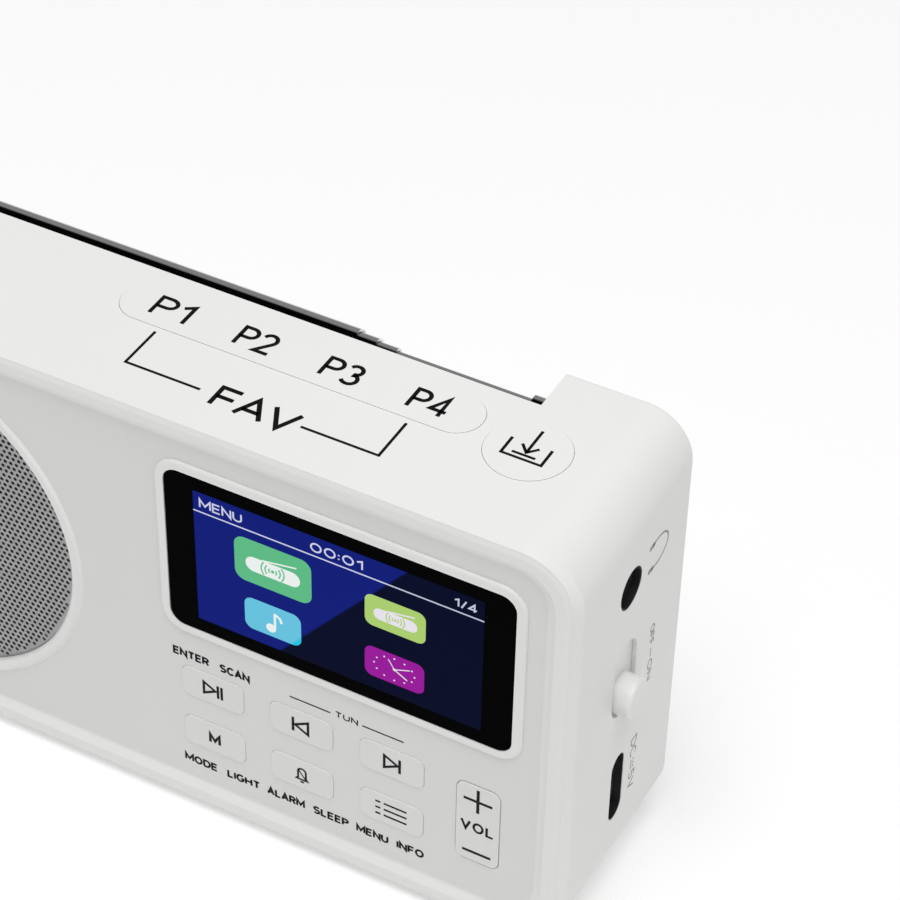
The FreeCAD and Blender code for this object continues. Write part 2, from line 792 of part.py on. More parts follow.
def panel_display_window(body):
    """A raised lip around the lens, its seat, and the window behind it."""
    x, z = D["lens_centre_x"], LENS_Z
    lip = front_sketch(body, "lens_lip", x, FACE, z)
    reach = 2 * D["lip_width"]
    corner = D["lens_corner"] + D["lip_width"]
    draw_rounded_rectangle(lip, D["lens_width"] + reach, D["lens_height"] + reach, corner)
    raised = pad(body, lip, D["lip_proud"])
    raised = round_edges(body, raised, "Y", FACE - D["lip_proud"], D["lip_proud"] - 0.02)
    seat = front_sketch(body, "lens_seat", x, FACE - D["lip_proud"], z)
    draw_rounded_rectangle(
        seat, D["lens_width"] + 0.1, D["lens_height"] + 0.1, D["lens_corner"] + 0.05
    )
    pocket(body, seat, LENS_BACK - FACE + D["lip_proud"])
    window = front_sketch(body, "lcd_window", x, LENS_BACK, z)
    clearance = D["window_clearance"]
    draw_rounded_rectangle(window, D["lcd_width"] + clearance, D["lcd_height"] + clearance, 0.5)
    pocket(body, window, PANEL_BACK - LENS_BACK)


def panel_speaker_opening(body):
    """The speaker's opening, and a seat that clears the trim ring where the rim's slope meets it."""
    seat = front_sketch(body, "ring_seat", D["speaker_x"], CASE_FRONT, CASE_MIDDLE)
    draw_circle(seat, D["ring_outer"] + D["ring_seat_gap"])
    pocket(body, seat, D["face_recess"])
    opening = front_sketch(body, "speaker_opening", D["speaker_x"], FACE, CASE_MIDDLE)
    draw_circle(opening, D["grille_radius"] + 1.25)
    pocket(body, opening, PANEL_BACK - FACE)


def panel_key_openings(body):
    gap = 2 * D["key_gap"]
    for name, x, z in key_spots():
        opening = front_sketch(body, f"{name}_opening", x, FACE, z)
        corner = D["key_corner"] + D["key_gap"]
        draw_rounded_rectangle(opening, D["key_width"] + gap, D["key_height"] + gap, corner)
        pocket(body, opening, PANEL_BACK - FACE)
    rocker = front_sketch(body, "rocker_opening", D["rocker_x"], FACE, ROCKER_Z)
    height = D["rocker_height"] + 2 * D["rocker_end_gap"]
    draw_rounded_rectangle(rocker, D["rocker_width"] + gap + 0.1, height, D["key_corner"] + 0.2)
    pocket(body, rocker, PANEL_BACK - FACE)


def panel_bosses(body):
    """Posts behind the panel for the key board, and holes for the speaker's screws."""
    for index, (x, z) in enumerate(BOARD_HOLES):
        boss = front_sketch(body, f"panel_boss_{index}", x, PANEL_BACK, z)
        draw_circle(boss, D["panel_boss_radius"])
        pad(body, boss, D["key_board_front"] - PANEL_BACK, backward=True)
        pilot = front_sketch(body, f"panel_pilot_{index}", x, D["key_board_front"], z)
        draw_circle(pilot, D["stud_radius"] + D["stud_clearance"])
        pocket(body, pilot, 3.4, backward=True)
    for index, (x, z) in enumerate(SPEAKER_SCREWS):
        pilot = front_sketch(body, f"speaker_pilot_{index}", x, PANEL_BACK, z)
        draw_circle(pilot, D["stud_radius"] + D["stud_clearance"])
        pocket(body, pilot, 1.4, backward=True)


def panel_rocker_ears(body):
    """Two ears behind the panel that hold the rocker's pin."""
    for index, side in enumerate((-1, 1)):
        x = D["rocker_x"] + side * D["rocker_ear_offset"]
        ear = front_sketch(body, f"rocker_ear_{index}", x, PANEL_BACK, ROCKER_Z)
        draw_rounded_rectangle(ear, D["rocker_ear_thickness"], 4.0, 0.2)
        pad(body, ear, D["rocker_ear_depth"], backward=True)
    bore = side_sketch(body, "rocker_ear_bore", D["rocker_x"] + 6.4, ROCKER_PIVOT_Y, ROCKER_Z)
    draw_circle(bore, D["rocker_pin_radius"])
    pocket(body, bore, 12.8)


# ---------------------------------------------------------------- display
def display_lens():
    body = new_body("display_lens")
    outline = front_sketch(body, "lens_outline", D["lens_centre_x"], LENS_BACK, LENS_Z)
    draw_rounded_rectangle(outline, D["lens_width"], D["lens_height"], D["lens_corner"])
    plate = pad(body, outline, D["lens_thickness"])
    round_edges(body, plate, "Y", LENS_FRONT, 0.12)
    return piece(body, "display_lens")


def framed_opening(label, front, depth, width, height, band):
    """A flat rectangular frame behind the lens, open in the middle."""
    body = new_body(label)
    outer = front_sketch(body, f"{label}_outer", D["lens_centre_x"], front, LENS_Z)
    draw_rounded_rectangle(outer, width, height, 0.4)
    pad(body, outer, depth, backward=True)
    inner = front_sketch(body, f"{label}_inner", D["lens_centre_x"], front, LENS_Z)
    draw_rounded_rectangle(inner, width - 2 * band, height - 2 * band, 0.4)
    pocket(body, inner, depth)
    return piece(body, label)


def display_gasket():
    return framed_opening(
        "display_gasket",
        LENS_BACK,
        D["gasket_thickness"],
        D["lcd_width"],
        D["lcd_height"],
        D["gasket_band"],
    )


def lcd_module():
    front = LENS_BACK + D["gasket_thickness"]
    low_x = D["lens_centre_x"] - D["lcd_width"] / 2
    low_z = LENS_Z - D["lcd_height"] / 2
    extent = (D["lcd_width"], D["lcd_thickness"], D["lcd_height"])
    return piece(box("lcd_panel", (low_x, front, low_z), extent), "lcd_module")


def lcd_frame():
    front = LENS_BACK + D["gasket_thickness"] + D["lcd_thickness"]
    depth = D["key_board_front"] - front
    return framed_opening("lcd_frame", front, depth, D["lcd_width"], D["lcd_height"], size(1.6))


# ---------------------------------------------------------------- speaker
def speaker_profile(body, name, corners):
    """A sketch of radius against depth, turned about the speaker's axis."""
    sketch = top_sketch(body, name, D["speaker_x"], 0, CASE_MIDDLE)
    draw_polygon(sketch, corners)
    return revolve(body, sketch)


def speaker_trim_ring():
    body = new_body("speaker_trim_ring")
    inner = D["grille_radius"] + 0.05
    sleeve = D["grille_radius"] + 1.2
    front = FACE - D["ring_proud"]
    grille_back = GRILLE_FRONT + D["grille_thickness"]
    turned = speaker_profile(
        body,
        "trim_ring_profile",
        [
            (inner + 0.35, front),
            (D["ring_outer"] - 0.5, front),
            (D["ring_outer"], FACE),
            (sleeve, FACE),
            (sleeve, PANEL_BACK),
            (inner - 0.8, PANEL_BACK),
            (inner - 0.8, grille_back),
            (inner, grille_back),
            (inner, front + 0.5),
        ],
    )
    round_edges(body, turned, "Y", front, 0.3)
    return piece(body, "speaker_trim_ring")


def speaker_grille():
    body = new_body("speaker_grille")
    disc = front_sketch(
        body, "grille_disc", D["speaker_x"], GRILLE_FRONT + D["grille_thickness"], CASE_MIDDLE
    )
    draw_circle(disc, D["grille_radius"])
    plate = pad(body, disc, D["grille_thickness"])
    round_edges(body, plate, "Y", GRILLE_FRONT, 0.2)
    return piece(body, "speaker_grille")


SPEAKER_SEAT = PANEL_BACK
SPEAKER_REAR = PANEL_BACK + D["speaker_depth"]
CONE_EDGE = 23.0
COIL_RADIUS = 8.0


def speaker_basket():
    body = new_body("speaker_basket")
    speaker_profile(
        body,
        "basket_profile",
        [
            (25.4, SPEAKER_SEAT),
            (29.5, SPEAKER_SEAT),
            (29.5, SPEAKER_SEAT + 1.2),
            (28.0, SPEAKER_SEAT + 1.6),
            (17.5, SPEAKER_REAR),
            (9.6, SPEAKER_REAR),
            (9.6, SPEAKER_REAR - 1.0),
            (16.6, SPEAKER_REAR - 1.0),
            (25.4, SPEAKER_SEAT + 2.4),
        ],
    )
    flange = front_sketch(body, "speaker_flange", D["speaker_x"], SPEAKER_SEAT, CASE_MIDDLE)
    frame = D["speaker_frame_size"]
    draw_rounded_rectangle(flange, frame, frame, 7.0)
    pad(body, flange, 1.2, backward=True)
    clearance = front_sketch(body, "speaker_throat", D["speaker_x"], SPEAKER_SEAT, CASE_MIDDLE)
    draw_circle(clearance, 25.4)
    pocket(body, clearance, 1.2)
    for index, (x, z) in enumerate(SPEAKER_SCREWS):
        hole = front_sketch(body, f"flange_hole_{index}", x, SPEAKER_SEAT, z)
        draw_circle(hole, D["stud_radius"] + 0.15)
        pocket(body, hole, 1.2)
    for index in range(6):
        window = front_sketch(
            body, f"basket_window_{index}", D["speaker_x"], SPEAKER_REAR, CASE_MIDDLE
        )
        turn = FreeCAD.Rotation(FreeCAD.Vector(0, 0, 1), 60 * index)
        window.AttachmentOffset = FreeCAD.Placement(FreeCAD.Vector(), turn)
        draw_polygon(window, [(17.8, -4.0), (22.5, -5.5), (22.5, 5.5), (17.8, 4.0)])
        pocket(body, window, 9.0, backward=True)
    return piece(body, "speaker_basket")


def speaker_surround():
    body = new_body("speaker_surround")
    front = SPEAKER_SEAT + 0.5
    turned = speaker_profile(
        body,
        "surround_profile",
        [
            (CONE_EDGE + 0.12, front + 1.2),
            (CONE_EDGE + 0.5, front + 0.3),
            (25.0, front + 0.3),
            (25.38, front + 1.2),
        ],
    )
    round_edges(body, turned, "Y", front + 0.3, 0.3)
    return piece(body, "speaker_surround")


def speaker_cone():
    body = new_body("speaker_cone")
    front = SPEAKER_SEAT + 1.7
    speaker_profile(
        body,
        "cone_profile",
        [
            (CONE_EDGE - 0.4, front),
            (CONE_EDGE, front),
            (CONE_EDGE, front + 0.5),
            (COIL_RADIUS + 0.6, front + 6.9),
            (COIL_RADIUS, front + 6.9),
            (COIL_RADIUS, front + 6.4),
        ],
    )
    return piece(body, "speaker_cone")


def dust_cap():
    body = new_body("dust_cap")
    base = SPEAKER_SEAT + 1.7 + 6.3
    speaker_profile(
        body,
        "cap_profile",
        [
            (0.0, base - 2.6),
            (4.0, base - 2.1),
            (7.0, base - 0.7),
            (COIL_RADIUS - 0.1, base),
            (COIL_RADIUS - 0.1, base + 0.5),
            (6.6, base - 0.3),
            (3.8, base - 1.6),
            (0.0, base - 2.1),
        ],
    )
    return piece(body, "dust_cap")


def voice_coil():
    start = (D["speaker_x"], SPEAKER_SEAT + 1.7 + 6.9, CASE_MIDDLE)
    outer = cylinder("coil_outer", "Y", start, COIL_RADIUS + 0.4, 4.4)
    inner = cylinder("coil_inner", "Y", start, COIL_RADIUS, 4.4)
    return piece(cut("coil_ring", outer, inner), "voice_coil")


def speaker_magnet():
    """Magnet, plates and pole, with the ring gap that the coil moves in."""
    body = new_body("speaker_magnet")
    start = SPEAKER_REAR
    end = start + D["magnet_thickness"]
    speaker_profile(
        body,
        "magnet_profile",
        [
            (0.0, start),
            (7.3, start),
            (7.3, start + 5.0),
            (9.2, start + 5.0),
            (9.2, start),
            (14.5, start),
            (14.5, start + 1.2),
            (D["magnet_radius"], start + 1.2),
            (D["magnet_radius"], end - 1.2),
            (14.5, end - 1.2),
            (14.5, end),
            (0.0, end),
        ],
    )
    return piece(body, "speaker_magnet")


def speaker_screws():
    screws = []
    for index, (x, z) in enumerate(SPEAKER_SCREWS):
        under_head = SPEAKER_SEAT + 1.2
        head = cylinder(f"speaker_head_{index}", "Y", (x, under_head, z), 1.9, 1.1)
        shank_start = under_head - 2.5
        shank = cylinder(f"speaker_shank_{index}", "Y", (x, shank_start, z), D["stud_radius"], 2.5)
        screws.append(fuse(f"speaker_screw_{index}", [head, shank]))
    return piece(group("speaker_screw_group", screws), "speaker_screws")


# ---------------------------------------------------------------- front keys
def front_key(name, x, z):
    """A cap in the panel, a flange that keeps it in, and a stem to its switch."""
    body = new_body(name)
    flange_front = PANEL_BACK + D["flange_play"]
    cap = front_sketch(body, f"{name}_cap", x, flange_front, z)
    draw_rounded_rectangle(cap, D["key_width"], D["key_height"], D["key_corner"])
    raised = pad(body, cap, flange_front - KEY_FRONT)
    round_edges(body, raised, "Y", KEY_FRONT, D["key_edge_round"])
    flange = front_sketch(body, f"{name}_flange", x, flange_front, z)
    reach = 2 * D["key_flange"]
    corner = D["key_corner"] + D["key_flange"]
    draw_rounded_rectangle(flange, D["key_width"] + reach, D["key_height"] + reach, corner)
    pad(body, flange, D["key_flange_depth"], backward=True)
    stem = front_sketch(body, f"{name}_stem", x, flange_front, z)
    draw_circle(stem, D["stem_radius"])
    pad(body, stem, PLUNGER_TIP - D["key_travel"] - 0.08 - flange_front, backward=True)
    return piece(body, name)


def volume_rocker():
    body = new_body("volume_rocker")
    x, z = D["rocker_x"], ROCKER_Z
    rear = PANEL_BACK + 1.2
    cap = front_sketch(body, "rocker_cap", x, rear, z)
    draw_rounded_rectangle(cap, D["rocker_width"], D["rocker_height"], D["key_corner"])
    raised = pad(body, cap, rear - KEY_FRONT)
    round_edges(body, raised, "Y", KEY_FRONT, D["key_edge_round"])
    flange = front_sketch(body, "rocker_flange", x, rear, z)
    draw_rounded_rectangle(flange, D["rocker_width"] + 1.2, D["rocker_height"] + 1.2, 1.8)
    pad(body, flange, 0.7)
    hub = side_sketch(body, "rocker_hub", x - 3.2, ROCKER_PIVOT_Y, z)
    draw_circle(hub, 1.5)
    pad(body, hub, 6.4)
    bore = side_sketch(body, "rocker_bore", x + 4.0, ROCKER_PIVOT_Y, z)
    draw_circle(bore, D["rocker_pin_radius"] + 0.06)
    pocket(body, bore, 8.0)
    return piece(body, "volume_rocker")


def rocker_pin():
    start = (D["rocker_x"] - 6.3, ROCKER_PIVOT_Y, ROCKER_Z)
    pin = cylinder("rocker_axle", "X", start, D["rocker_pin_radius"], 12.6)
    return piece(pin, "rocker_pin")


# ---------------------------------------------------------------- top keys
FLANGE_TOP = TOP_INNER - D["flange_play"]
TOP_KEY_FACE = CASE_TOP + D["top_key_proud"]
TOP_PLUNGER = TOP_BOARD_TOP + D["top_switch_height"]


def preset_spots():
    return [D["strip_x"] + (step - 1.5) * D["preset_pitch"] for step in range(4)]


def preset_strip():
    body = new_body("preset_strip")
    x, y = D["strip_x"], D["strip_y"]
    length, width = D["strip_length"], D["strip_width"]
    cap = top_sketch(body, "strip_cap", x, y, FLANGE_TOP)
    draw_rounded_rectangle(cap, length, width, width / 2 - 0.01)
    raised = pad(body, cap, TOP_KEY_FACE - FLANGE_TOP)
    round_edges(body, raised, "Z", TOP_KEY_FACE, D["top_key_edge_round"])
    flange = top_sketch(body, "strip_flange", x, y, FLANGE_TOP)
    draw_rounded_rectangle(flange, length + 1.6, width + 1.6, width / 2 + 0.7)
    pad(body, flange, D["top_flange_thickness"], backward=True)
    for index, spot in enumerate(preset_spots()):
        stem = top_sketch(body, f"strip_stem_{index}", spot, D["save_y"], FLANGE_TOP)
        draw_circle(stem, D["stem_radius"])
        pad(body, stem, FLANGE_TOP - TOP_PLUNGER - D["top_stem_gap"], backward=True)
    return piece(body, "preset_strip")


def save_key():
    body = new_body("save_key")
    x, y = D["save_x"], D["save_y"]
    cap = top_sketch(body, "save_cap", x, y, FLANGE_TOP)
    draw_circle(cap, D["save_radius"])
    raised = pad(body, cap, TOP_KEY_FACE - FLANGE_TOP)
    round_edges(body, raised, "Z", TOP_KEY_FACE, D["top_key_edge_round"])
    flange = top_sketch(body, "save_flange", x, y, FLANGE_TOP)
    draw_circle(flange, D["save_radius"] + 0.6)
    pad(body, flange, D["top_flange_thickness"], backward=True)
    stem = top_sketch(body, "save_stem", x, y, FLANGE_TOP)
    draw_circle(stem, D["stem_radius"])
    pad(body, stem, FLANGE_TOP - TOP_PLUNGER - D["top_stem_gap"], backward=True)
    return piece(body, "save_key")


# ---------------------------------------------------------------- switches and boards
def tact_switch(name, facing, x, y, z):
    """A small push switch that stands on a board and faces the front or the top."""
    if facing == "front":
        base = box(f"{name}_base", (x - 2.25, y - 1.5, z - 2.25), (4.5, 1.5, 4.5))
        start = (x, y - D["push_switch_height"], z)
        plunger = cylinder(f"{name}_plunger", "Y", start, 1.1, 0.9)
    else:
        base = box(f"{name}_base", (x - 2.25, y - 2.25, z), (4.5, 4.5, 1.4))
        plunger = cylinder(f"{name}_plunger", "Z", (x, y, z + 1.2), 1.1, 0.8)
    return fuse(name, [base, plunger])


def key_switches():
    front = D["key_board_front"]
    switches = [tact_switch(f"{name}_switch", "front", x, front, z) for name, x, z in key_spots()]
    for index, side in enumerate((1, -1)):
        z = ROCKER_Z + side * size(4.6)
        switches.append(tact_switch(f"volume_switch_{index}", "front", D["rocker_x"], front, z))
    return piece(group("key_switch_group", switches), "key_switches")


def top_switches():
    spots = preset_spots() + [D["save_x"]]
    switches = [
        tact_switch(f"top_switch_{index}", "top", x, D["save_y"], TOP_BOARD_TOP)
        for index, x in enumerate(spots)
    ]
    return piece(group("top_switch_group", switches), "top_switches")


def board(name, label, low, extent, holes, axis):
    """A circuit board with its screw holes."""
    plate = box(f"{name}_plate", low, extent)
    drills = []
    for index, start in enumerate(holes):
        radius = D["stud_radius"] + 0.1
        drills.append(cylinder(f"{name}_hole_{index}", axis, start, radius, D["board_thickness"]))
    return piece(cut(name, plate, fuse(f"{name}_holes", drills)), label)


def key_board():
    front = D["key_board_front"]
    holes = [(x, front, z) for x, z in BOARD_HOLES]
    extent = (size(59.0), D["board_thickness"], size(57.0))
    return board("front_board", "key_board", (8.0, front, 6.4), extent, holes, "Y")


def main_board():
    front = D["main_board_front"]
    holes = [(x, front, z) for x, z in BOARD_HOLES]
    extent = (size(60.0), D["board_thickness"], size(56.0))
    return board("rear_board", "main_board", (7.6, front, 6.6), extent, holes, "Y")


def top_key_board():
    under = TOP_BOARD_TOP - D["board_thickness"]
    holes = [(x, size(0), under) for x in TOP_BOARD_HOLES]
    extent = (size(78.6), size(11.4), D["board_thickness"])
    return board("upper_board", "top_key_board", (-11.6, -5.2, under), extent, holes, "Z")


def board_standoffs():
    standoffs = []
    radius = D["stud_radius"]
    for index, (x, z) in enumerate(BOARD_HOLES):
        start = (x, KEY_BOARD_BACK, z)
        length = D["main_board_front"] - KEY_BOARD_BACK
        column = cylinder(f"standoff_column_{index}", "Y", start, D["standoff_radius"], length)
        stud_start = KEY_BOARD_BACK - 4.2
        stud = cylinder(f"standoff_stud_{index}", "Y", (x, stud_start, z), radius, 4.3)
        bore_start = (x, D["main_board_front"] - 4.5, z)
        bore = cylinder(
            f"standoff_bore_{index}", "Y", bore_start, radius + D["stud_clearance"], 4.5
        )
        solid = fuse(f"standoff_solid_{index}", [column, stud])
        standoffs.append(cut(f"standoff_{index}", solid, bore))
    return piece(group("standoff_group", standoffs), "board_standoffs")


def board_screws():
    screws = []
    for index, (x, z) in enumerate(BOARD_HOLES):
        head = cylinder(f"board_head_{index}", "Y", (x, MAIN_BOARD_BACK, z), 1.6, 1.1)
        shank_start = MAIN_BOARD_BACK - 5.0
        shank = cylinder(f"board_shank_{index}", "Y", (x, shank_start, z), D["stud_radius"], 5.0)
        screws.append(fuse(f"board_screw_{index}", [head, shank]))
    under = TOP_BOARD_TOP - D["board_thickness"]
    for index, x in enumerate(TOP_BOARD_HOLES):
        head = cylinder(f"top_board_head_{index}", "Z", (x, 0, under - 1.1), 1.6, 1.1)
        shank = cylinder(f"top_board_shank_{index}", "Z", (x, 0, under), D["stud_radius"], 4.0)
        screws.append(fuse(f"top_board_screw_{index}", [head, shank]))
    return piece(group("board_screw_group", screws), "board_screws")


def receiver_shield():
    body = new_body("receiver_shield")
    can = front_sketch(body, "shield_outline", 34.0, D["main_board_front"], 49.0)
    draw_rounded_rectangle(can, 22.0, 18.0, 0.6)
    raised = pad(body, can, 3.0)
    round_edges(body, raised, "Y", D["main_board_front"] - 3.0, 0.3)
    return piece(body, "receiver_shield")


def battery_pack():
    body = new_body("battery_pack")
    cell = front_sketch(body, "battery_outline", 37.0, 12.6, 30.0)
    draw_rounded_rectangle(cell, 46.0, 38.0, 2.0)
    raised = pad(body, cell, 8.0)
    raised = round_edges(body, raised, "Y", 4.6, 1.2)
    round_edges(body, raised, "Y", 12.6, 1.2)
    return piece(body, "battery_pack")


def battery_pad():
    start = size(12.6)
    extent = (size(36.0), COVER_FRONT - start, size(28.0))
    return piece(box("battery_foam", (19.0, start, 16.0), extent), "battery_pad")


# ---------------------------------------------------------------- right side
def headphone_jack():
    """The socket's block, with a black collar that lines the hole in the case."""
    y, z = D["side_y"], JACK_Z
    block_end = D["jack_block_end"]
    extent = (block_end - D["jack_back"], size(5.4), size(6.0))
    block = box("jack_block", (D["jack_back"], -3.9, z - 3.0), extent)
    collar_start = block_end - 0.3
    collar_end = CASE_RIGHT - D["sleeve_set_back"]
    radius = D["jack_hole_radius"] - D["sleeve_gap"]
    start = (collar_start, y, z)
    collar = cylinder("jack_collar", "X", start, radius, collar_end - collar_start)
    mouth = cylinder("jack_mouth", "X", (JACK_FACE, y, z), radius - 0.25, 1.2)
    start = (JACK_FACE - D["jack_bore_depth"], y, z)
    bore = cylinder("jack_bore", "X", start, D["jack_bore_radius"], D["jack_bore_depth"] + 0.1)
    solid = fuse("jack_solid", [block, collar])
    return piece(cut("jack_cut", solid, fuse("jack_opening", [mouth, bore])), "headphone_jack")


def usb_port_shell():
    body = new_body("usb_port_shell")
    y = D["side_y"]
    start, end = D["usb_shell_start"], D["usb_shell_end"]
    width, length, wall = D["usb_shell_width"], D["usb_shell_length"], D["usb_shell_wall"]
    outer = side_sketch(body, "usb_shell_outline", start, y, USB_Z)
    draw_rounded_rectangle(outer, width, length, width / 2 - 0.01)
    pad(body, outer, end - start)
    inner = side_sketch(body, "usb_shell_mouth", end, y, USB_Z)
    draw_rounded_rectangle(inner, width - 2 * wall, length - 2 * wall, width / 2 - wall - 0.01)
    pocket(body, inner, end - start - 1.0)
    legs = side_sketch(body, "usb_shell_legs", start + 1.0, 1.0, USB_Z)
    draw_rounded_rectangle(legs, 1.0, 6.0, 0.1)
    pad(body, legs, 4.6)
    return piece(body, "usb_port_shell")


def usb_port_sleeve():
    """The black lining of the case's slot, closed round the port."""
    body = new_body("usb_port_sleeve")
    y, gap, wall = D["side_y"], D["sleeve_gap"], D["usb_sleeve_wall"]
    width, length = D["usb_slot_width"] - 2 * gap, D["usb_slot_length"] - 2 * gap
    outer = side_sketch(body, "sleeve_outline", SIDE_INNER, y, USB_Z)
    draw_rounded_rectangle(outer, width, length, width / 2 - 0.01)
    pad(body, outer, D["case_wall"] - D["sleeve_set_back"])
    mouth = side_sketch(body, "sleeve_mouth", CASE_RIGHT, y, USB_Z)
    draw_rounded_rectangle(mouth, width - 2 * wall, length - 2 * wall, width / 2 - wall - 0.01)
    pocket(body, mouth, D["case_wall"] - D["usb_sleeve_floor"])
    port = side_sketch(body, "sleeve_port", CASE_RIGHT, y, USB_Z)
    width, length = D["usb_shell_width"] + gap, D["usb_shell_length"] + gap
    draw_rounded_rectangle(port, width, length, width / 2 - 0.01)
    pocket(body, port, D["case_wall"])
    return piece(body, "usb_port_sleeve")


def usb_port_tongue():
    y = D["side_y"]
    tongue = box("usb_tongue", (63.0, y - 0.35, USB_Z - 3.35), (5.9, 0.7, 6.7))
    return piece(tongue, "usb_port_tongue")


def power_switch_body():
    y = D["side_y"]
    block = box("switch_block", (60.8, -3.6, KNOB_Z - 2.8), (5.5, 5.1, 11.2))
    groove = box("switch_groove", (64.3, y - 1.1, KNOB_Z - 1.3), (2.0, 2.2, 8.1))
    return piece(cut("switch_cut", block, groove), "power_switch_body")


def power_switch_knob():
    """A round knob on a plate that keeps the slot closed at both ends of its travel."""
    body = new_body("power_switch_knob")
    y = D["side_y"]
    outer = CASE_RIGHT + D["knob_proud"]
    thickness = D["knob_plate_thickness"]
    plate_back = CASE_RIGHT - D["slot_wall"] - D["knob_play"] - thickness
    knob = side_sketch(body, "knob_outline", plate_back, y, KNOB_Z)
    draw_circle(knob, D["knob_radius"])
    raised = pad(body, knob, outer - plate_back)
    round_edges(body, raised, "X", outer, D["knob_edge_round"])
    plate = side_sketch(body, "knob_plate", plate_back, y, KNOB_PLATE_Z)
    draw_rounded_rectangle(plate, D["knob_plate_width"], D["knob_plate_length"], 0.5)
    pad(body, plate, thickness)
    peg = side_sketch(body, "knob_peg", plate_back, y, KNOB_Z)
    draw_circle(peg, 0.9)
    pad(body, peg, 4.5, backward=True)
    return piece(body, "power_switch_knob")


# ---------------------------------------------------------------- antenna
def antenna_swivel():
    """A turning foot with two cheeks that hold the antenna's hinge."""
    x, y = D["pivot_x"], D["antenna_y"]
    foot_bottom = TROUGH_FLOOR + 0.05
    foot = cylinder("swivel_foot", "Z", (x, y, foot_bottom), 2.9, 0.95)
    stem_start = TROUGH_UNDER - D["swivel_play"]
    stem = cylinder("swivel_stem", "Z", (x, y, stem_start), 1.5, foot_bottom - stem_start + 0.2)
    parts = [foot, stem]
    for index, side in enumerate((-1, 1)):
        low_y = y + side * size(1.7) - 0.65
        parts.append(cylinder(f"cheek_eye_{index}", "Y", (x, low_y, ANTENNA_Z), 2.2, 1.3))
        low = (x - 2.2, low_y, foot_bottom)
        parts.append(box(f"cheek_{index}", low, (4.4, 1.3, ANTENNA_Z - foot_bottom)))
    bore = cylinder("swivel_pin_bore", "Y", (x, y - 2.4, ANTENNA_Z), 0.8, 4.8)
    pilot = cylinder("swivel_pilot", "Z", (x, y, stem_start), 0.75, 2.4)
    return piece(
        cut("swivel_cut", fuse("swivel_solid", parts), fuse("swivel_bores", [bore, pilot])),
        "antenna_swivel",
    )


def antenna_hinge_pin():
    start = (D["pivot_x"], D["antenna_y"] - 2.35, ANTENNA_Z)
    return piece(cylinder("hinge_pin", "Y", start, 0.8, 4.7), "antenna_hinge_pin")


def antenna_screw():
    """The washer-head screw under the trough that keeps the swivel in."""
    x, y = D["pivot_x"], D["antenna_y"]
    under = TROUGH_UNDER - D["swivel_play"]
    head = cylinder("swivel_screw_head", "Z", (x, y, under - 1.1), 2.1, 1.1)
    shank = cylinder("swivel_screw_shank", "Z", (x, y, under), 0.72, 2.2)
    return piece(fuse("swivel_screw", [head, shank]), "antenna_screw")


TUBE_START = D["pivot_x"] + 3.1


def antenna_tube_1():
    """The outermost tube, with the flat lug that turns on the hinge pin."""
    y = D["antenna_y"]
    outer_radius = D["tube_outer_radius"]
    length = D["tube_outer_end"] - TUBE_START
    outer = cylinder("tube_1_outer", "X", (TUBE_START, y, ANTENNA_Z), outer_radius, length)
    eye = cylinder("lug_eye", "Y", (D["pivot_x"], y - 0.95, ANTENNA_Z), 1.9, 1.9)
    neck = box("lug_neck", (D["pivot_x"], y - 0.95, ANTENNA_Z - 1.5), (3.6, 1.9, 3.0))
    hollow_start = TUBE_START + 1.6
    hollow = cylinder(
        "tube_1_hollow",
        "X",
        (hollow_start, y, ANTENNA_Z),
        outer_radius - D["tube_wall"],
        D["tube_outer_end"] - hollow_start,
    )
    bore = cylinder("lug_bore", "Y", (D["pivot_x"], y - 1.2, ANTENNA_Z), 0.86, 2.4)
    solid = fuse("tube_1_solid", [outer, eye, neck])
    return piece(cut("tube_1_cut", solid, fuse("tube_1_bores", [hollow, bore])), "antenna_tube_1")


def antenna_tube(number, start, end, radius):
    y = D["antenna_y"]
    outer = cylinder(f"tube_{number}_outer", "X", (start, y, ANTENNA_Z), radius, end - start)
    inner_radius = radius - D["tube_wall"]
    hollow = cylinder(
        f"tube_{number}_hollow", "X", (start + 1.2, y, ANTENNA_Z), inner_radius, end - start - 1.2
    )
    return piece(cut(f"tube_{number}_cut", outer, hollow), f"antenna_tube_{number}")


def antenna_rod():
    start = (TUBE_START + 5.0, D["antenna_y"], ANTENNA_Z)
    length = D["tip_start"] - TUBE_START - 5.0
    return piece(cylinder("rod", "X", start, D["rod_radius"], length), "antenna_rod")


def antenna_tip():
    body = new_body("antenna_tip")
    tip = side_sketch(body, "tip_outline", D["tip_start"], D["antenna_y"], ANTENNA_Z)
    draw_circle(tip, D["tip_radius"])
    knob = pad(body, tip, D["tip_length"])
    round_edges(body, knob, "X", D["tip_start"] + D["tip_length"], 0.4)
    return piece(body, "antenna_tip")


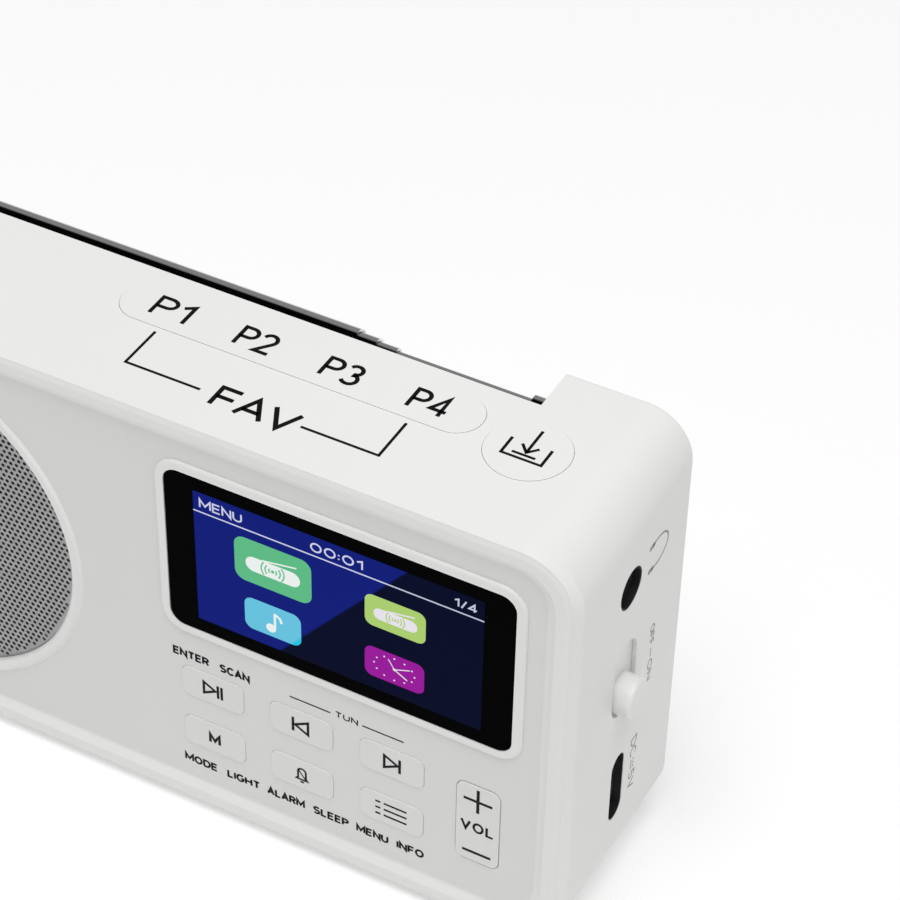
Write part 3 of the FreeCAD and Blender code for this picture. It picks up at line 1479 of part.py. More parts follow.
# ---------------------------------------------------------------- build
def build():
    housing()
    rubber_feet()
    rear_cover()
    case_screws()
    front_panel()
    display_lens()
    display_gasket()
    lcd_module()
    lcd_frame()
    speaker_trim_ring()
    speaker_grille()
    speaker_basket()
    speaker_surround()
    speaker_cone()
    dust_cap()
    voice_coil()
    speaker_magnet()
    speaker_screws()
    for name, x, z in key_spots():
        front_key(name, x, z)
    volume_rocker()
    rocker_pin()
    preset_strip()
    save_key()
    key_switches()
    top_switches()
    key_board()
    main_board()
    top_key_board()
    board_standoffs()
    board_screws()
    receiver_shield()
    battery_pack()
    battery_pad()
    headphone_jack()
    usb_port_shell()
    usb_port_sleeve()
    usb_port_tongue()
    power_switch_body()
    power_switch_knob()
    antenna_swivel()
    antenna_hinge_pin()
    antenna_screw()
    antenna_tube_1()
    antenna_tube(2, TUBE_START + 2.2, D["tube_middle_end"], D["tube_middle_radius"])
    antenna_tube(3, TUBE_START + 3.6, D["tube_inner_end"], D["tube_inner_radius"])
    antenna_rod()
    antenna_tip()


def check():
    doc.recompute()
    failed = [item.Name for item in doc.Objects if {"Invalid", "Error"} & set(item.State)]
    for thing in PIECES:
        if thing.Shape.isNull() or not thing.Shape.isValid():
            failed.append(thing.Label)
    if failed:
        raise RuntimeError("these did not build: " + ", ".join(failed))


def export():
    os.makedirs("parts", exist_ok=True)
    for thing in PIECES:
        thing.Shape.exportStep(f"parts/{thing.Label}.step")
        bounds = thing.Shape.BoundBox
        print(
            f"{thing.Label:20s} solids {len(thing.Shape.Solids)} volume {thing.Shape.Volume:9.1f}"
            f" x {bounds.XMin:7.2f} {bounds.XMax:7.2f} y {bounds.YMin:7.2f} {bounds.YMax:7.2f}"
            f" z {bounds.ZMin:6.2f} {bounds.ZMax:6.2f}"
        )


build()
check()
export()
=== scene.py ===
import json
import math
import bmesh
import bpy
from mathutils import Matrix, Vector


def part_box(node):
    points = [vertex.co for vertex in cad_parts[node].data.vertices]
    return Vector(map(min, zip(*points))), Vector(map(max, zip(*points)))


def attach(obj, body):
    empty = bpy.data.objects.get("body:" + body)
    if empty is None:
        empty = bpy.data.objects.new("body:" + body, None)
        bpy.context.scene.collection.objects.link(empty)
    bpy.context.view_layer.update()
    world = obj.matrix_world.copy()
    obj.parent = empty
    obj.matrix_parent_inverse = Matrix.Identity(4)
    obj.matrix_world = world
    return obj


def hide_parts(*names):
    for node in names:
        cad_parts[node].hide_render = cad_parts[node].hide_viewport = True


# The looks of a white tabletop radio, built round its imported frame. Metres.
# +X is the user's right, +Y the back, +Z up.

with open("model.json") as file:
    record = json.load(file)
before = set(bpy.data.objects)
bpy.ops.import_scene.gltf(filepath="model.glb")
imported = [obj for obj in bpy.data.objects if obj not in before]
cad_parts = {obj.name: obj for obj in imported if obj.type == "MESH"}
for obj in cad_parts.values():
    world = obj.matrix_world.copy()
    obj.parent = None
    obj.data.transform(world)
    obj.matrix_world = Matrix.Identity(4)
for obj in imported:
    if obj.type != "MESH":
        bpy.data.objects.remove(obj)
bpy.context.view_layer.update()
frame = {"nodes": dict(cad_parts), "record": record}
NODES = frame["nodes"]
MM = 0.001


# ---------------------------------------------------------------- places read from the frame
def centre(node):
    low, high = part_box(node)
    return (low + high) / 2


CASE_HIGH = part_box("housing")[1]
LENS_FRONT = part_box("display_lens")[0].y
RIM_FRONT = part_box("front_panel")[0].y
GRILLE_LOW, GRILLE_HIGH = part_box("speaker_grille")
FACE_RECESS = 0.8 * MM
FACE = RIM_FRONT + FACE_RECESS
TOP = CASE_HIGH.z
SIDE = CASE_HIGH.x
LENS = centre("display_lens")
ANTENNA = centre("antenna_rod")


# ---------------------------------------------------------------- node helpers
NOISE_ROUGHNESS = 0.55


class Nodes:
    """A short way to build a node tree for one material."""

    def __init__(self, name):
        self.material = bpy.data.materials.new(name)
        self.material.use_nodes = True
        self.tree = self.material.node_tree
        self.shader = self.tree.nodes["Principled BSDF"]

    def add(self, kind, **settings):
        node = self.tree.nodes.new(kind)
        for key, value in settings.items():
            setattr(node, key, value)
        return node

    def link(self, source, target):
        self.tree.links.new(source, target)

    def set(self, **values):
        for key, value in values.items():
            self.shader.inputs[key.replace("_", " ")].default_value = value

    def position(self, scale=1.0):
        """Object coordinates, which are the frame's own metres."""
        coordinates = self.add("ShaderNodeTexCoord")
        mapping = self.add("ShaderNodeMapping")
        self.link(coordinates.outputs["Object"], mapping.inputs["Vector"])
        if isinstance(scale, (int, float)):
            scale = (scale, scale, scale)
        mapping.inputs["Scale"].default_value = scale
        return mapping.outputs["Vector"]

    def noise(self, scale, detail=3.0, vector=None):
        texture = self.add("ShaderNodeTexNoise")
        texture.inputs["Scale"].default_value = scale
        texture.inputs["Detail"].default_value = detail
        texture.inputs["Roughness"].default_value = NOISE_ROUGHNESS
        self.link(vector or self.position(), texture.inputs["Vector"])
        return texture.outputs["Fac"]

    def ramp(self, source, stops):
        node = self.add("ShaderNodeValToRGB")
        elements = node.color_ramp.elements
        while len(elements) < len(stops):
            elements.new(0.5)
        for element, (place, colour) in zip(elements, stops):
            element.position = place
            element.color = (*colour, 1.0)
        self.link(source, node.inputs["Fac"])
        return node.outputs["Color"]

    def spread(self, source, low, high):
        """Map a 0..1 value to low..high."""
        node = self.add("ShaderNodeMapRange")
        node.inputs["To Min"].default_value = low
        node.inputs["To Max"].default_value = high
        self.link(source, node.inputs["Value"])
        return node.outputs["Result"]

    def between(self, source, start, end):
        """Map start..end to 0..1."""
        node = self.add("ShaderNodeMapRange")
        node.inputs["From Min"].default_value = start
        node.inputs["From Max"].default_value = end
        self.link(source, node.inputs["Value"])
        return node.outputs["Result"]

    def depth_between(self, start, end):
        """0..1 from one depth (Y) in the frame to another."""
        coordinates = self.add("ShaderNodeTexCoord")
        parts = self.add("ShaderNodeSeparateXYZ")
        self.link(coordinates.outputs["Object"], parts.inputs["Vector"])
        return self.between(parts.outputs["Y"], start, end)

    def roughness(self, scale, low, high):
        value = self.spread(self.noise(scale), low, high)
        self.link(value, self.shader.inputs["Roughness"])

    def bump(self, source, depth):
        node = self.add("ShaderNodeBump")
        node.inputs["Distance"].default_value = depth
        node.inputs["Strength"].default_value = 1.0
        self.link(source, node.inputs["Height"])
        self.link(node.outputs["Normal"], self.shader.inputs["Normal"])

    def tint(self, scale, first, second):
        """A slow drift between two close colours."""
        colour = self.ramp(self.noise(scale), [(0.35, first), (0.65, second)])
        self.link(colour, self.shader.inputs["Base Color"])


def shade(item, material):
    """Give one material to a CAD node or a piece."""
    item.data.materials.clear()
    item.data.materials.append(material)


# ---------------------------------------------------------------- materials
def moulded_plastic(name, first, second, rough=(0.34, 0.46), grain=0.000012):
    """Satin moulded plastic: a fine spark-eroded grain and faint tone drift."""
    nodes = Nodes(name)
    nodes.tint(18.0, first, second)
    nodes.roughness(240.0, *rough)
    nodes.bump(nodes.noise(5200.0, 2.0), grain)
    nodes.set(Specular_IOR_Level=0.5)
    return nodes.material


def print_ink(name, colour):
    """Matt screen-printed ink, barely reflecting."""
    nodes = Nodes(name)
    lighter = tuple(min(1.0, c * 1.25 + 0.001) for c in colour)
    nodes.tint(900.0, colour, lighter)
    nodes.roughness(2000.0, 0.44, 0.56)
    nodes.bump(nodes.noise(9000.0, 2.0), 0.000003)
    nodes.set(Specular_IOR_Level=0.12)
    return nodes.material


def metal(name, colour, rough, streak=(1.0, 1.0, 1.0)):
    """Bare metal, with a faint grain that streak can draw out along an axis."""
    nodes = Nodes(name)
    darker = tuple(c * 0.86 for c in colour)
    vector = nodes.position(streak)
    fac = nodes.noise(700.0, 4.0, vector=vector)
    nodes.link(nodes.ramp(fac, [(0.3, darker), (0.7, colour)]), nodes.shader.inputs["Base Color"])
    nodes.link(nodes.spread(fac, rough * 0.75, rough * 1.3), nodes.shader.inputs["Roughness"])
    nodes.bump(nodes.noise(2600.0, 2.0, vector=vector), 0.000002)
    nodes.set(Metallic=1.0)
    return nodes.material


ANTENNA_RADIUS = 2.2 * MM


def antenna_painted_reflection(name):
    """Polished tube with a painted reflection: pale on its rear half, near black on the half that mirrors
    its dark trough, painted into its colour.
    """
    nodes = Nodes(name)
    # painted reflection: the colour runs from near black at the front of the tube to pale at its back,
    # standing for the trough it mirrors
    depth = nodes.depth_between(ANTENNA.y - ANTENNA_RADIUS, ANTENNA.y + ANTENNA_RADIUS)
    dark, pale, soft = (0.004, 0.004, 0.004), (0.72, 0.72, 0.73), (0.5, 0.5, 0.5)
    stops = [(0.0, dark), (0.42, dark), (0.48, pale), (0.80, pale), (0.9, soft)]
    nodes.link(nodes.ramp(depth, stops), nodes.shader.inputs["Base Color"])
    fine = nodes.noise(900.0, 3.0, vector=nodes.position((0.05, 1.0, 1.0)))
    nodes.link(nodes.spread(fine, 0.10, 0.2), nodes.shader.inputs["Roughness"])
    nodes.bump(fine, 0.0000006)
    nodes.set(Metallic=1.0, Specular_IOR_Level=0.2)
    return nodes.material


def dull(name, first, second, rough, bump_scale, depth):
    """Rubber, foam, paper and painted parts, with a bump of their own size."""
    nodes = Nodes(name)
    nodes.tint(bump_scale * 0.3, first, second)
    nodes.roughness(bump_scale, rough - 0.08, rough + 0.08)
    nodes.bump(nodes.noise(bump_scale, 3.0), depth)
    return nodes.material


def glossy(name, first, second, rough=(0.03, 0.06), coat=1.0, specular=0.5):
    """Polished sheet or film."""
    nodes = Nodes(name)
    nodes.tint(60.0, first, second)
    nodes.roughness(90.0, *rough)
    nodes.set(Coat_Weight=coat, Coat_Roughness=0.02, Specular_IOR_Level=specular)
    return nodes.material


def shaded_panel_plastic(name, low, high, edge):
    """The case's plastic, with painted shade: the face that lies behind the rim is painted a little deeper
    in tone than the rim.
    """
    nodes = Nodes(name)
    # random tone drift plus a painted-shade mask that darkens the recessed face
    drift_and_shade = nodes.add("ShaderNodeMath", operation="MULTIPLY_ADD")
    nodes.link(nodes.noise(18.0), drift_and_shade.inputs[0])
    drift_and_shade.inputs[1].default_value = 0.06
    nodes.link(nodes.depth_between(edge, edge + 0.12 * MM), drift_and_shade.inputs[2])
    colour = nodes.ramp(drift_and_shade.outputs["Value"], [(0.0, high), (1.0, low)])
    nodes.link(colour, nodes.shader.inputs["Base Color"])
    nodes.roughness(240.0, 0.36, 0.48)
    nodes.bump(nodes.noise(5200.0, 2.0), 0.000010)
    return nodes.material


WHITE_A, WHITE_B = (0.79, 0.79, 0.775), (0.81, 0.81, 0.795)
# painted shade: the deeper tone painted on the recessed face and on the keys set in it
SHADED_FACE_A, SHADED_FACE_B = (0.73, 0.73, 0.715), (0.745, 0.745, 0.73)
M = {
    "panel": shaded_panel_plastic("panel_white_painted_shade", SHADED_FACE_A, WHITE_B, FACE - 0.14 * MM),
    "front_key": moulded_plastic("front_key_white_painted_shade", SHADED_FACE_A, SHADED_FACE_B, (0.32, 0.44), 0.000008),
    # near black: the jack collar's own colour, and painted shade on the USB's metal shell in its shadowed
    # opening
    "socket": dull("socket_black_and_shade", (0.001, 0.001, 0.001), (0.002, 0.002, 0.002), 0.8, 900.0, 0.00001),
    "case": moulded_plastic("case_white", WHITE_A, WHITE_B),
    "key": moulded_plastic("key_white", WHITE_A, WHITE_B, (0.30, 0.42), 0.000008),
    "print": print_ink("black_print", (0.003, 0.003, 0.0033)),
    "side_print": print_ink("grey_print", (0.27, 0.27, 0.275)),
    "rubber": dull("rubber", (0.018, 0.018, 0.018), (0.03, 0.03, 0.03), 0.72, 1800.0, 0.00003),
    "foam": dull("foam", (0.03, 0.03, 0.03), (0.06, 0.06, 0.06), 0.9, 1400.0, 0.0001),
    "black_plastic": moulded_plastic("black_plastic", (0.012, 0.012, 0.013), (0.02, 0.02, 0.021)),
    "lens": glossy(
        "lens_black", (0.0003, 0.0003, 0.0004), (0.0006, 0.0006, 0.0007), coat=0.0, specular=0.008
    ),
    "lcd": glossy("lcd_glass", (0.01, 0.02, 0.08), (0.02, 0.03, 0.1)),
    "grille": metal("grille_steel", (0.34, 0.34, 0.345), 0.30),
    "pressed_steel": dull("pressed_steel", (0.02, 0.02, 0.02), (0.035, 0.035, 0.035), 0.5, 900.0, 0.00001),
    "zinc": metal("zinc_steel", (0.62, 0.63, 0.66), 0.3),
    "pin": metal("pin_steel", (0.66, 0.66, 0.68), 0.22),
    "tin": metal("tinned_steel", (0.60, 0.60, 0.60), 0.28, (1.0, 6.0, 1.0)),
    "cone": dull("cone_paper", (0.015, 0.015, 0.016), (0.03, 0.03, 0.03), 0.85, 1500.0, 0.00006),
    "copper": metal("copper_wire", (0.75, 0.36, 0.18), 0.35, (1.0, 20.0, 1.0)),
    "ferrite": dull("ferrite", (0.03, 0.03, 0.032), (0.05, 0.05, 0.052), 0.6, 700.0, 0.00003),
    "board": dull("circuit_board", (0.006, 0.06, 0.022), (0.01, 0.09, 0.03), 0.35, 500.0, 0.00001),
    "brass": metal("brass", (0.80, 0.60, 0.28), 0.25),
    "battery": glossy("battery_wrap", (0.02, 0.09, 0.33), (0.03, 0.11, 0.38), (0.25, 0.35), 0.3),
    "chrome": antenna_painted_reflection("antenna_chrome"),
}

MATERIAL_OF_SLOT = {
    "case_white": "case",
    "key_white": "key",
    "black_rubber": "rubber",
    "black_foam": "foam",
    "black_plastic": "black_plastic",
    "lens_black": "lens",
    "lcd_glass": "lcd",
    "grille_steel": "grille",
    "pressed_steel": "pressed_steel",
    "zinc_steel": "zinc",
    "pin_steel": "pin",
    "tinned_steel": "tin",
    "cone_paper": "cone",
    "copper": "copper",
    "ferrite": "ferrite",
    "circuit_board": "board",
    "brass": "brass",
    "battery_wrap": "battery",
    "antenna_chrome": "chrome",
}
OWN_MATERIAL = {
    "front_panel": "panel",
    "headphone_jack": "socket",
    # the USB sleeve's metal shell is painted near black as shade for its opening
    "usb_port_sleeve": "socket",
    "volume_rocker": "front_key",
}
FRONT_KEY_DEPTH = 5 * MM
SMOOTH_ANGLE = math.radians(32)


def dress_cad_nodes():
    """Each carried-over node gets its slot's material; keys thin from front to back get the face's
    painted-shade tone.
    """
    for part in frame["record"]["subparts"]:
        node = part["node"]
        kind = MATERIAL_OF_SLOT[part["material_slot"]]
        if kind == "key" and NODES[node].dimensions.y < FRONT_KEY_DEPTH:
            kind = "front_key"
        shade(NODES[node], M[OWN_MATERIAL.get(node, kind)])
    for item in NODES.values():
        for polygon in item.data.polygons:
            polygon.use_smooth = True
        item.data.set_sharp_from_angle(angle=SMOOTH_ANGLE)


dress_cad_nodes()


# ---------------------------------------------------------------- thin shapes
INK = 0.02 * MM


def as_object(name, mesh):
    item = bpy.data.objects.new(name, mesh)
    bpy.context.scene.collection.objects.link(item)
    return item


def ride_piece(item, body, material):
    """Shade a piece and put it on a body."""
    shade(item, M[material])
    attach(item, body)


def black_print(item, body):
    ride_piece(item, body, "print")


def side_print(item):
    ride_piece(item, "case", "side_print")


def on_front(point):
    """Local x runs to the right and local y up, on a face that looks forward."""
    return Matrix.Translation(point) @ Matrix.Rotation(math.radians(90), 4, "X")


def on_top(point):
    return Matrix.Translation(point)


def on_side(point):
    """Local x runs down and local y to the back, on a face that looks right."""
    turn = Matrix(((0, 0, 1, 0), (0, 1, 0, 0), (-1, 0, 0, 0), (0, 0, 0, 1)))
    return Matrix.Translation(point) @ turn


def flat_piece(name, outlines, place, base=0.0):
    """Thin closed shapes, from outlines in millimetres in the place's own plane."""
    mesh = bpy.data.meshes.new(name)
    work = bmesh.new()
    for outline in outlines:
        low = [work.verts.new((x * MM, y * MM, base)) for x, y in outline]
        high = [work.verts.new((x * MM, y * MM, base + INK)) for x, y in outline]
        work.faces.new(list(reversed(low)))
        work.faces.new(high)
        for first in range(len(outline)):
            second = (first + 1) % len(outline)
            work.faces.new((low[first], low[second], high[second], high[first]))
    bmesh.ops.recalc_face_normals(work, faces=work.faces)
    work.to_mesh(mesh)
    work.free()
    mesh.transform(place)
    return as_object(name, mesh)


def box_outline(x0, y0, x1, y1):
    return [(x0, y0), (x1, y0), (x1, y1), (x0, y1)]


def rounded_outline(x0, y0, x1, y1, radius, steps=7):
    points = []
    corners = (
        (x1 - radius, y0 + radius, -90),
        (x1 - radius, y1 - radius, 0),
        (x0 + radius, y1 - radius, 90),
        (x0 + radius, y0 + radius, 180),
    )
    for x, y, start in corners:
        for step in range(steps + 1):
            angle = math.radians(start + 90 * step / steps)
            points.append((x + radius * math.cos(angle), y + radius * math.sin(angle)))
    return points


def disc_outline(x, y, radius, steps=24):
    turn = 2 * math.pi / steps
    return [(x + radius * math.cos(i * turn), y + radius * math.sin(i * turn)) for i in range(steps)]


def bowl(x, y, wide, tall, start, end, steps=10):
    """Part of an ellipse as a run of points."""
    points = []
    for step in range(steps + 1):
        angle = math.radians(start + (end - start) * step / steps)
        points.append((x + wide * math.cos(angle), y + tall * math.sin(angle)))
    return points


def arc_points(x, y, radius, start, end, steps):
    return bowl(x, y, radius, radius, start, end, steps)


def shifted(outlines, dx):
    return [[(x + dx, y) for x, y in outline] for outline in outlines]


def stroke(points, width, closed=False):
    """A line of even width with mitred corners, as one four-sided outline per run."""
    spots = [Vector(point) for point in points]
    count = len(spots)
    runs = count if closed else count - 1
    along = [(spots[(i + 1) % count] - spots[i]).normalized() for i in range(runs)]
    sides = [Vector((-step.y, step.x)) for step in along]
    offsets = []
    for i in range(count):
        if closed:
            before, after = sides[i - 1], sides[i]
        else:
            before, after = sides[max(i - 1, 0)], sides[min(i, runs - 1)]
        middle = (before + after).normalized()
        offsets.append(middle * (width / 2 / max(middle.dot(after), 0.35)))
    outlines = []
    for i in range(runs):
        j = (i + 1) % count
        right = [spots[i] - offsets[i], spots[j] - offsets[j]]
        left = [spots[j] + offsets[j], spots[i] + offsets[i]]
        outlines.append([tuple(corner) for corner in right + left])
    return outlines


# ---------------------------------------------------------------- lettering
ROUND = bowl(0.36, 0.5, 0.36, 0.5, 90, 450, 28)[:-1]
# each letter: its width, then the runs of its strokes, on a height of one
LETTERS = {
    "A": (0.68, [[(0, 0), (0.34, 1), (0.68, 0)], [(0.12, 0.33), (0.56, 0.33)]]),
    "C": (0.66, [bowl(0.36, 0.5, 0.36, 0.5, 42, 318, 20)]),
    "D": (0.66, [[(0, 0), (0, 1), (0.3, 1)] + bowl(0.28, 0.5, 0.38, 0.5, 82, -82, 14) + [(0, 0)]]),
    "E": (0.54, [[(0.54, 1), (0, 1), (0, 0), (0.54, 0)], [(0, 0.52), (0.5, 0.52)]]),
    "F": (0.52, [[(0.52, 1), (0, 1), (0, 0)], [(0, 0.5), (0.46, 0.5)]]),
    "G": (0.7, [bowl(0.36, 0.5, 0.36, 0.5, 45, 340, 20) + [(0.7, 0.45), (0.42, 0.45)]]),
    "H": (0.64, [[(0, 0), (0, 1)], [(0.64, 0), (0.64, 1)], [(0, 0.52), (0.64, 0.52)]]),
    "I": (0.0, [[(0, 0), (0, 1)]]),
    "L": (0.5, [[(0, 1), (0, 0), (0.5, 0)]]),
    "M": (0.82, [[(0, 0), (0, 1), (0.41, 0.25), (0.82, 1), (0.82, 0)]]),
    "N": (0.64, [[(0, 0), (0, 1), (0.64, 0), (0.64, 1)]]),
    "O": (0.74, [ROUND + ROUND[:2]]),
    "P": (0.56, [[(0, 0), (0, 1), (0.3, 1)] + bowl(0.3, 0.74, 0.26, 0.26, 80, -80) + [(0, 0.48)]]),
    "R": (0.58, [[(0, 0), (0, 1), (0.3, 1)] + bowl(0.3, 0.75, 0.26, 0.25, 80, -80) + [(0, 0.5)],
                 [(0.3, 0.5), (0.58, 0)]]),
    "S": (0.58, [bowl(0.29, 0.75, 0.27, 0.25, 30, 270) + bowl(0.29, 0.26, 0.29, 0.26, 80, -150)]),
    "T": (0.62, [[(0, 1), (0.62, 1)], [(0.31, 1), (0.31, 0)]]),
    "U": (0.62, [[(0, 1), (0, 0.35)] + bowl(0.31, 0.33, 0.31, 0.33, 190, 350) + [(0.62, 0.35), (0.62, 1)]]),
    "V": (0.68, [[(0, 1), (0.34, 0), (0.68, 1)]]),
    "0": (0.56, [bowl(0.28, 0.5, 0.28, 0.5, 90, 450, 24) + [(0.24, 0.995)]]),
    "1": (0.3, [[(0, 0.78), (0.28, 1), (0.28, 0)]]),
    "2": (0.52, [bowl(0.26, 0.74, 0.25, 0.26, 165, -35) + [(0, 0), (0.54, 0)]]),
    "3": (0.52, [bowl(0.25, 0.76, 0.24, 0.24, 155, -75) + bowl(0.24, 0.27, 0.28, 0.27, 75, -150, 12)]),
    "4": (0.58, [[(0.42, 0), (0.42, 1), (0, 0.28), (0.6, 0.28)]]),
    "5": (0.52, [[(0.5, 1), (0.1, 1), (0.05, 0.5)] + bowl(0.24, 0.31, 0.28, 0.31, 110, -150, 12)]),
    "/": (0.36, [[(0, -0.04), (0.36, 1.04)]]),
    ":": (0.02, [[(0, 0.14), (0, 0.27)], [(0, 0.6), (0, 0.73)]]),
}


def words_outlines(words, width, height, weight, gap=0.22):
    """Stroke outlines in millimetres for words that fill a width and height, middle at zero."""
    runs, pen = [], 0.0
    for letter in words:
        wide, strokes = LETTERS[letter]
        runs += [[(x + pen, y) for x, y in run] for run in strokes]
        pen += wide + gap
    natural = pen - gap
    wide, tall = (width - weight) / natural, height - weight
    outlines = []
    for run in runs:
        points = [((x - natural / 2) * wide, (y - 0.5) * tall) for x, y in run]
        points = [points[0]] + [b for a, b in zip(points, points[1:]) if math.dist(a, b) > 1e-4]
        outlines += stroke(points, weight)
    return outlines


def text_piece(name, words, width, height, place, weight, base=0.0, gap=0.22):
    return flat_piece(name, words_outlines(words, width, height, weight, gap), place, base=base)


# ---------------------------------------------------------------- prints on the front
LABEL_HEIGHT, LABEL_WEIGHT, LABEL_GAP = 1.52, 0.34, 0.27
ABOVE_KEY, BELOW_KEY = 4.9, -6.05
# words, the key they belong to, their place from its middle and their width
LABELS = (
    ("ENTER", "play_key", -3.36, ABOVE_KEY, 5.8),
    ("SCAN", "play_key", 3.59, ABOVE_KEY, 4.8),
    ("MODE", "mode_key", -2.56, BELOW_KEY, 5.4),
    ("LIGHT", "mode_key", 4.39, BELOW_KEY, 5.4),
    ("ALARM", "alarm_key", -2.76, BELOW_KEY, 6.1),
    ("SLEEP", "alarm_key", 4.44, BELOW_KEY, 5.7),
    ("MENU", "menu_key", -3.01, BELOW_KEY, 5.1),
    ("INFO", "menu_key", 2.94, BELOW_KEY, 4.3),
)
TUNE_RULE_LENGTH, TUNE_RULE_HALF = 6.3, 0.11


def on_face(node, dx, dz):
    """A place on the panel's face, in millimetres from the middle of a key."""
    spot = centre(node)
    return on_front((spot.x + dx * MM, FACE, spot.z + dz * MM))


def front_print(name, words, place, width, height=LABEL_HEIGHT, weight=LABEL_WEIGHT):
    black_print(text_piece(name, words, width, height, place, weight, gap=LABEL_GAP), "case")


def print_front_labels():
    for words, node, dx, dz, width in LABELS:
        front_print("print_" + words.lower(), words, on_face(node, dx, dz), width)
    front_print("print_tune", "TUN", on_face("tune_down_key", 7.04, 5.05), 3.5, 1.1, 0.19)
    rules = []
    for start in (-8.76, 2.44):
        rules.append(box_outline(start, -TUNE_RULE_HALF, start + TUNE_RULE_LENGTH, TUNE_RULE_HALF))
    black_print(flat_piece("print_tune_lines", rules, on_face("tune_down_key", 7.0, 4.85)), "case")


# ---------------------------------------------------------------- marks on the front keys
LINE = 0.4
BAR_TOP = 1.2
SKIP_BAR_TOP = 1.3
MENU_ROWS = (1.15, 0.0, -1.15)
MENU_LINE_HALF = 0.16
PLUS_MIDDLE, PLUS_REACH = 4.53, 2.15
MINUS_MIDDLE = -5.55
VOLUME_LINE_HALF = 0.23


def on_key(node, dz=0.0):
    """The middle of a key's own front face, or a place above it in millimetres."""
    low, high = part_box(node)
    return on_front(((low.x + high.x) / 2, low.y, (low.z + high.z) / 2 + dz * MM))


def key_mark(node, name, outlines):
    black_print(flat_piece(name, outlines, on_key(node)), node + "_body")


def bar(x, top):
    return box_outline(x - LINE / 2, -top, x + LINE / 2, top)


def play_mark():
    triangle = [(-1.4, 1.05), (-1.4, -1.05), (0.45, 0.0)]
    return stroke(triangle, LINE, closed=True) + [bar(0.85, BAR_TOP), bar(1.45, BAR_TOP)]


def skip_mark(facing):
    """A triangle with a bar at its tip: facing 1 points left, -1 points right."""
    triangle = [(facing * 1.1, 1.15), (facing * 1.1, -1.15), (-facing * 0.95, 0.0)]
    return stroke(triangle, LINE, closed=True) + [bar(-facing * 1.25, SKIP_BAR_TOP)]


def bell_mark():
    dome = arc_points(0.0, 0.6, 0.62, 180, 0, 10)
    outline = [(-0.88, -0.9), (-0.62, -0.55)] + dome + [(0.62, -0.55), (0.88, -0.9)]
    clapper, crossing = [(-0.25, -1.35), (0.3, -1.35)], [(-0.62, 0.95), (0.62, -0.75)]
    return stroke(outline, 0.3, closed=True) + stroke(clapper, 0.3) + stroke(crossing, 0.2)


def menu_mark():
    """Three rows, each a dash and a line."""
    outlines = []
    for z in MENU_ROWS:
        for start, end in ((-2.45, -1.65), (-1.15, 2.4)):
            outlines.append(box_outline(start, z - MENU_LINE_HALF, end, z + MENU_LINE_HALF))
    return outlines


def volume_mark():
    """A plus above and a minus below, each of even lines that don't overlap."""
    half = VOLUME_LINE_HALF
    plus_low, plus_high = PLUS_MIDDLE - half, PLUS_MIDDLE + half
    return [
        box_outline(-PLUS_REACH, plus_low, PLUS_REACH, plus_high),
        box_outline(-half, plus_high, half, 6.75),
        box_outline(-half, 2.35, half, plus_low),
        box_outline(-PLUS_REACH, MINUS_MIDDLE - half, PLUS_REACH, MINUS_MIDDLE + half),
    ]


def mark_front_keys():
    key_mark("play_key", "mark_play", play_mark())
    key_mark("tune_down_key", "mark_previous", skip_mark(1))
    key_mark("tune_up_key", "mark_next", skip_mark(-1))
    key_mark("alarm_key", "mark_bell", bell_mark())
    key_mark("menu_key", "mark_menu", menu_mark())
    mode = text_piece("mark_mode", "M", 1.95, 2.05, on_key("mode_key", -0.1), 0.46)
    black_print(mode, "mode_key_body")
    key_mark("volume_rocker", "mark_volume", volume_mark())
    volume = text_piece("mark_vol", "VOL", 5.1, 1.95, on_key("volume_rocker", -0.55), 0.37, gap=0.32)
    black_print(volume, "volume_rocker_body")


# ---------------------------------------------------------------- prints on the top
TOP_LINE = 0.42
PRESETS, PRESET_PITCH = 4, 12.9
BRACKET_REACH, BRACKET_DROP, BRACKET_TOP = 18.78, -7.33, -0.15


def print_presets(strip, strip_top):
    for step in range(PRESETS):
        across = (step - (PRESETS - 1) / 2) * PRESET_PITCH + 0.05
        place = on_top((strip.x + across * MM, strip.y, strip_top))
        words = f"P{step + 1}"
        item = text_piece(f"print_preset_{step + 1}", words, 5.7, 4.35, place, 0.6)
        black_print(item, "preset_strip_body")


def print_favourites(strip, strip_front):
    """A bracket from the strip's ends to the word between them."""
    x = strip.x - 0.18 * MM
    outlines = []
    for side, gap in ((-1, 7.42), (1, 7.48)):
        points = [(side * gap, BRACKET_DROP), (side * BRACKET_REACH, BRACKET_DROP)]
        outlines += stroke(points + [(side * BRACKET_REACH, BRACKET_TOP)], TOP_LINE)
    black_print(flat_piece("print_bracket", outlines, on_top((x, strip_front, TOP))), "case")
    place = on_top((x + 0.85 * MM, strip_front - 7.3 * MM, TOP))
    black_print(text_piece("print_fav", "FAV", 12.4, 4.35, place, 0.68, gap=0.12), "case")


def mark_save_key():
    """An arrow down into a tray."""
    spot = centre("save_key")
    tray = [(-2.85, 1.3), (-2.85, -1.95), (2.8, -1.95), (2.8, 1.3)]
    base, shaft = [(-1.7, -1.15), (1.6, -1.15)], [(0.05, -0.6), (0.05, 4.1)]
    barbs = [(-1.15, 0.75), (0.05, -0.6), (1.25, 0.75)]
    outlines = []
    for points in (tray, base, shaft, barbs):
        outlines += stroke(points, TOP_LINE)
    place = on_top((spot.x, spot.y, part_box("save_key")[1].z))
    black_print(flat_piece("mark_save", outlines, place), "save_key_body")


def print_top():
    low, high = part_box("preset_strip")
    strip = (low + high) / 2
    print_presets(strip, high.z)
    print_favourites(strip, low.y)
    mark_save_key()


# ---------------------------------------------------------------- prints on the right side
SWITCH_PRINT_BEHIND = 8.15
INLET_WORD_HEIGHT, INLET_WEIGHT = 1.85, 0.24


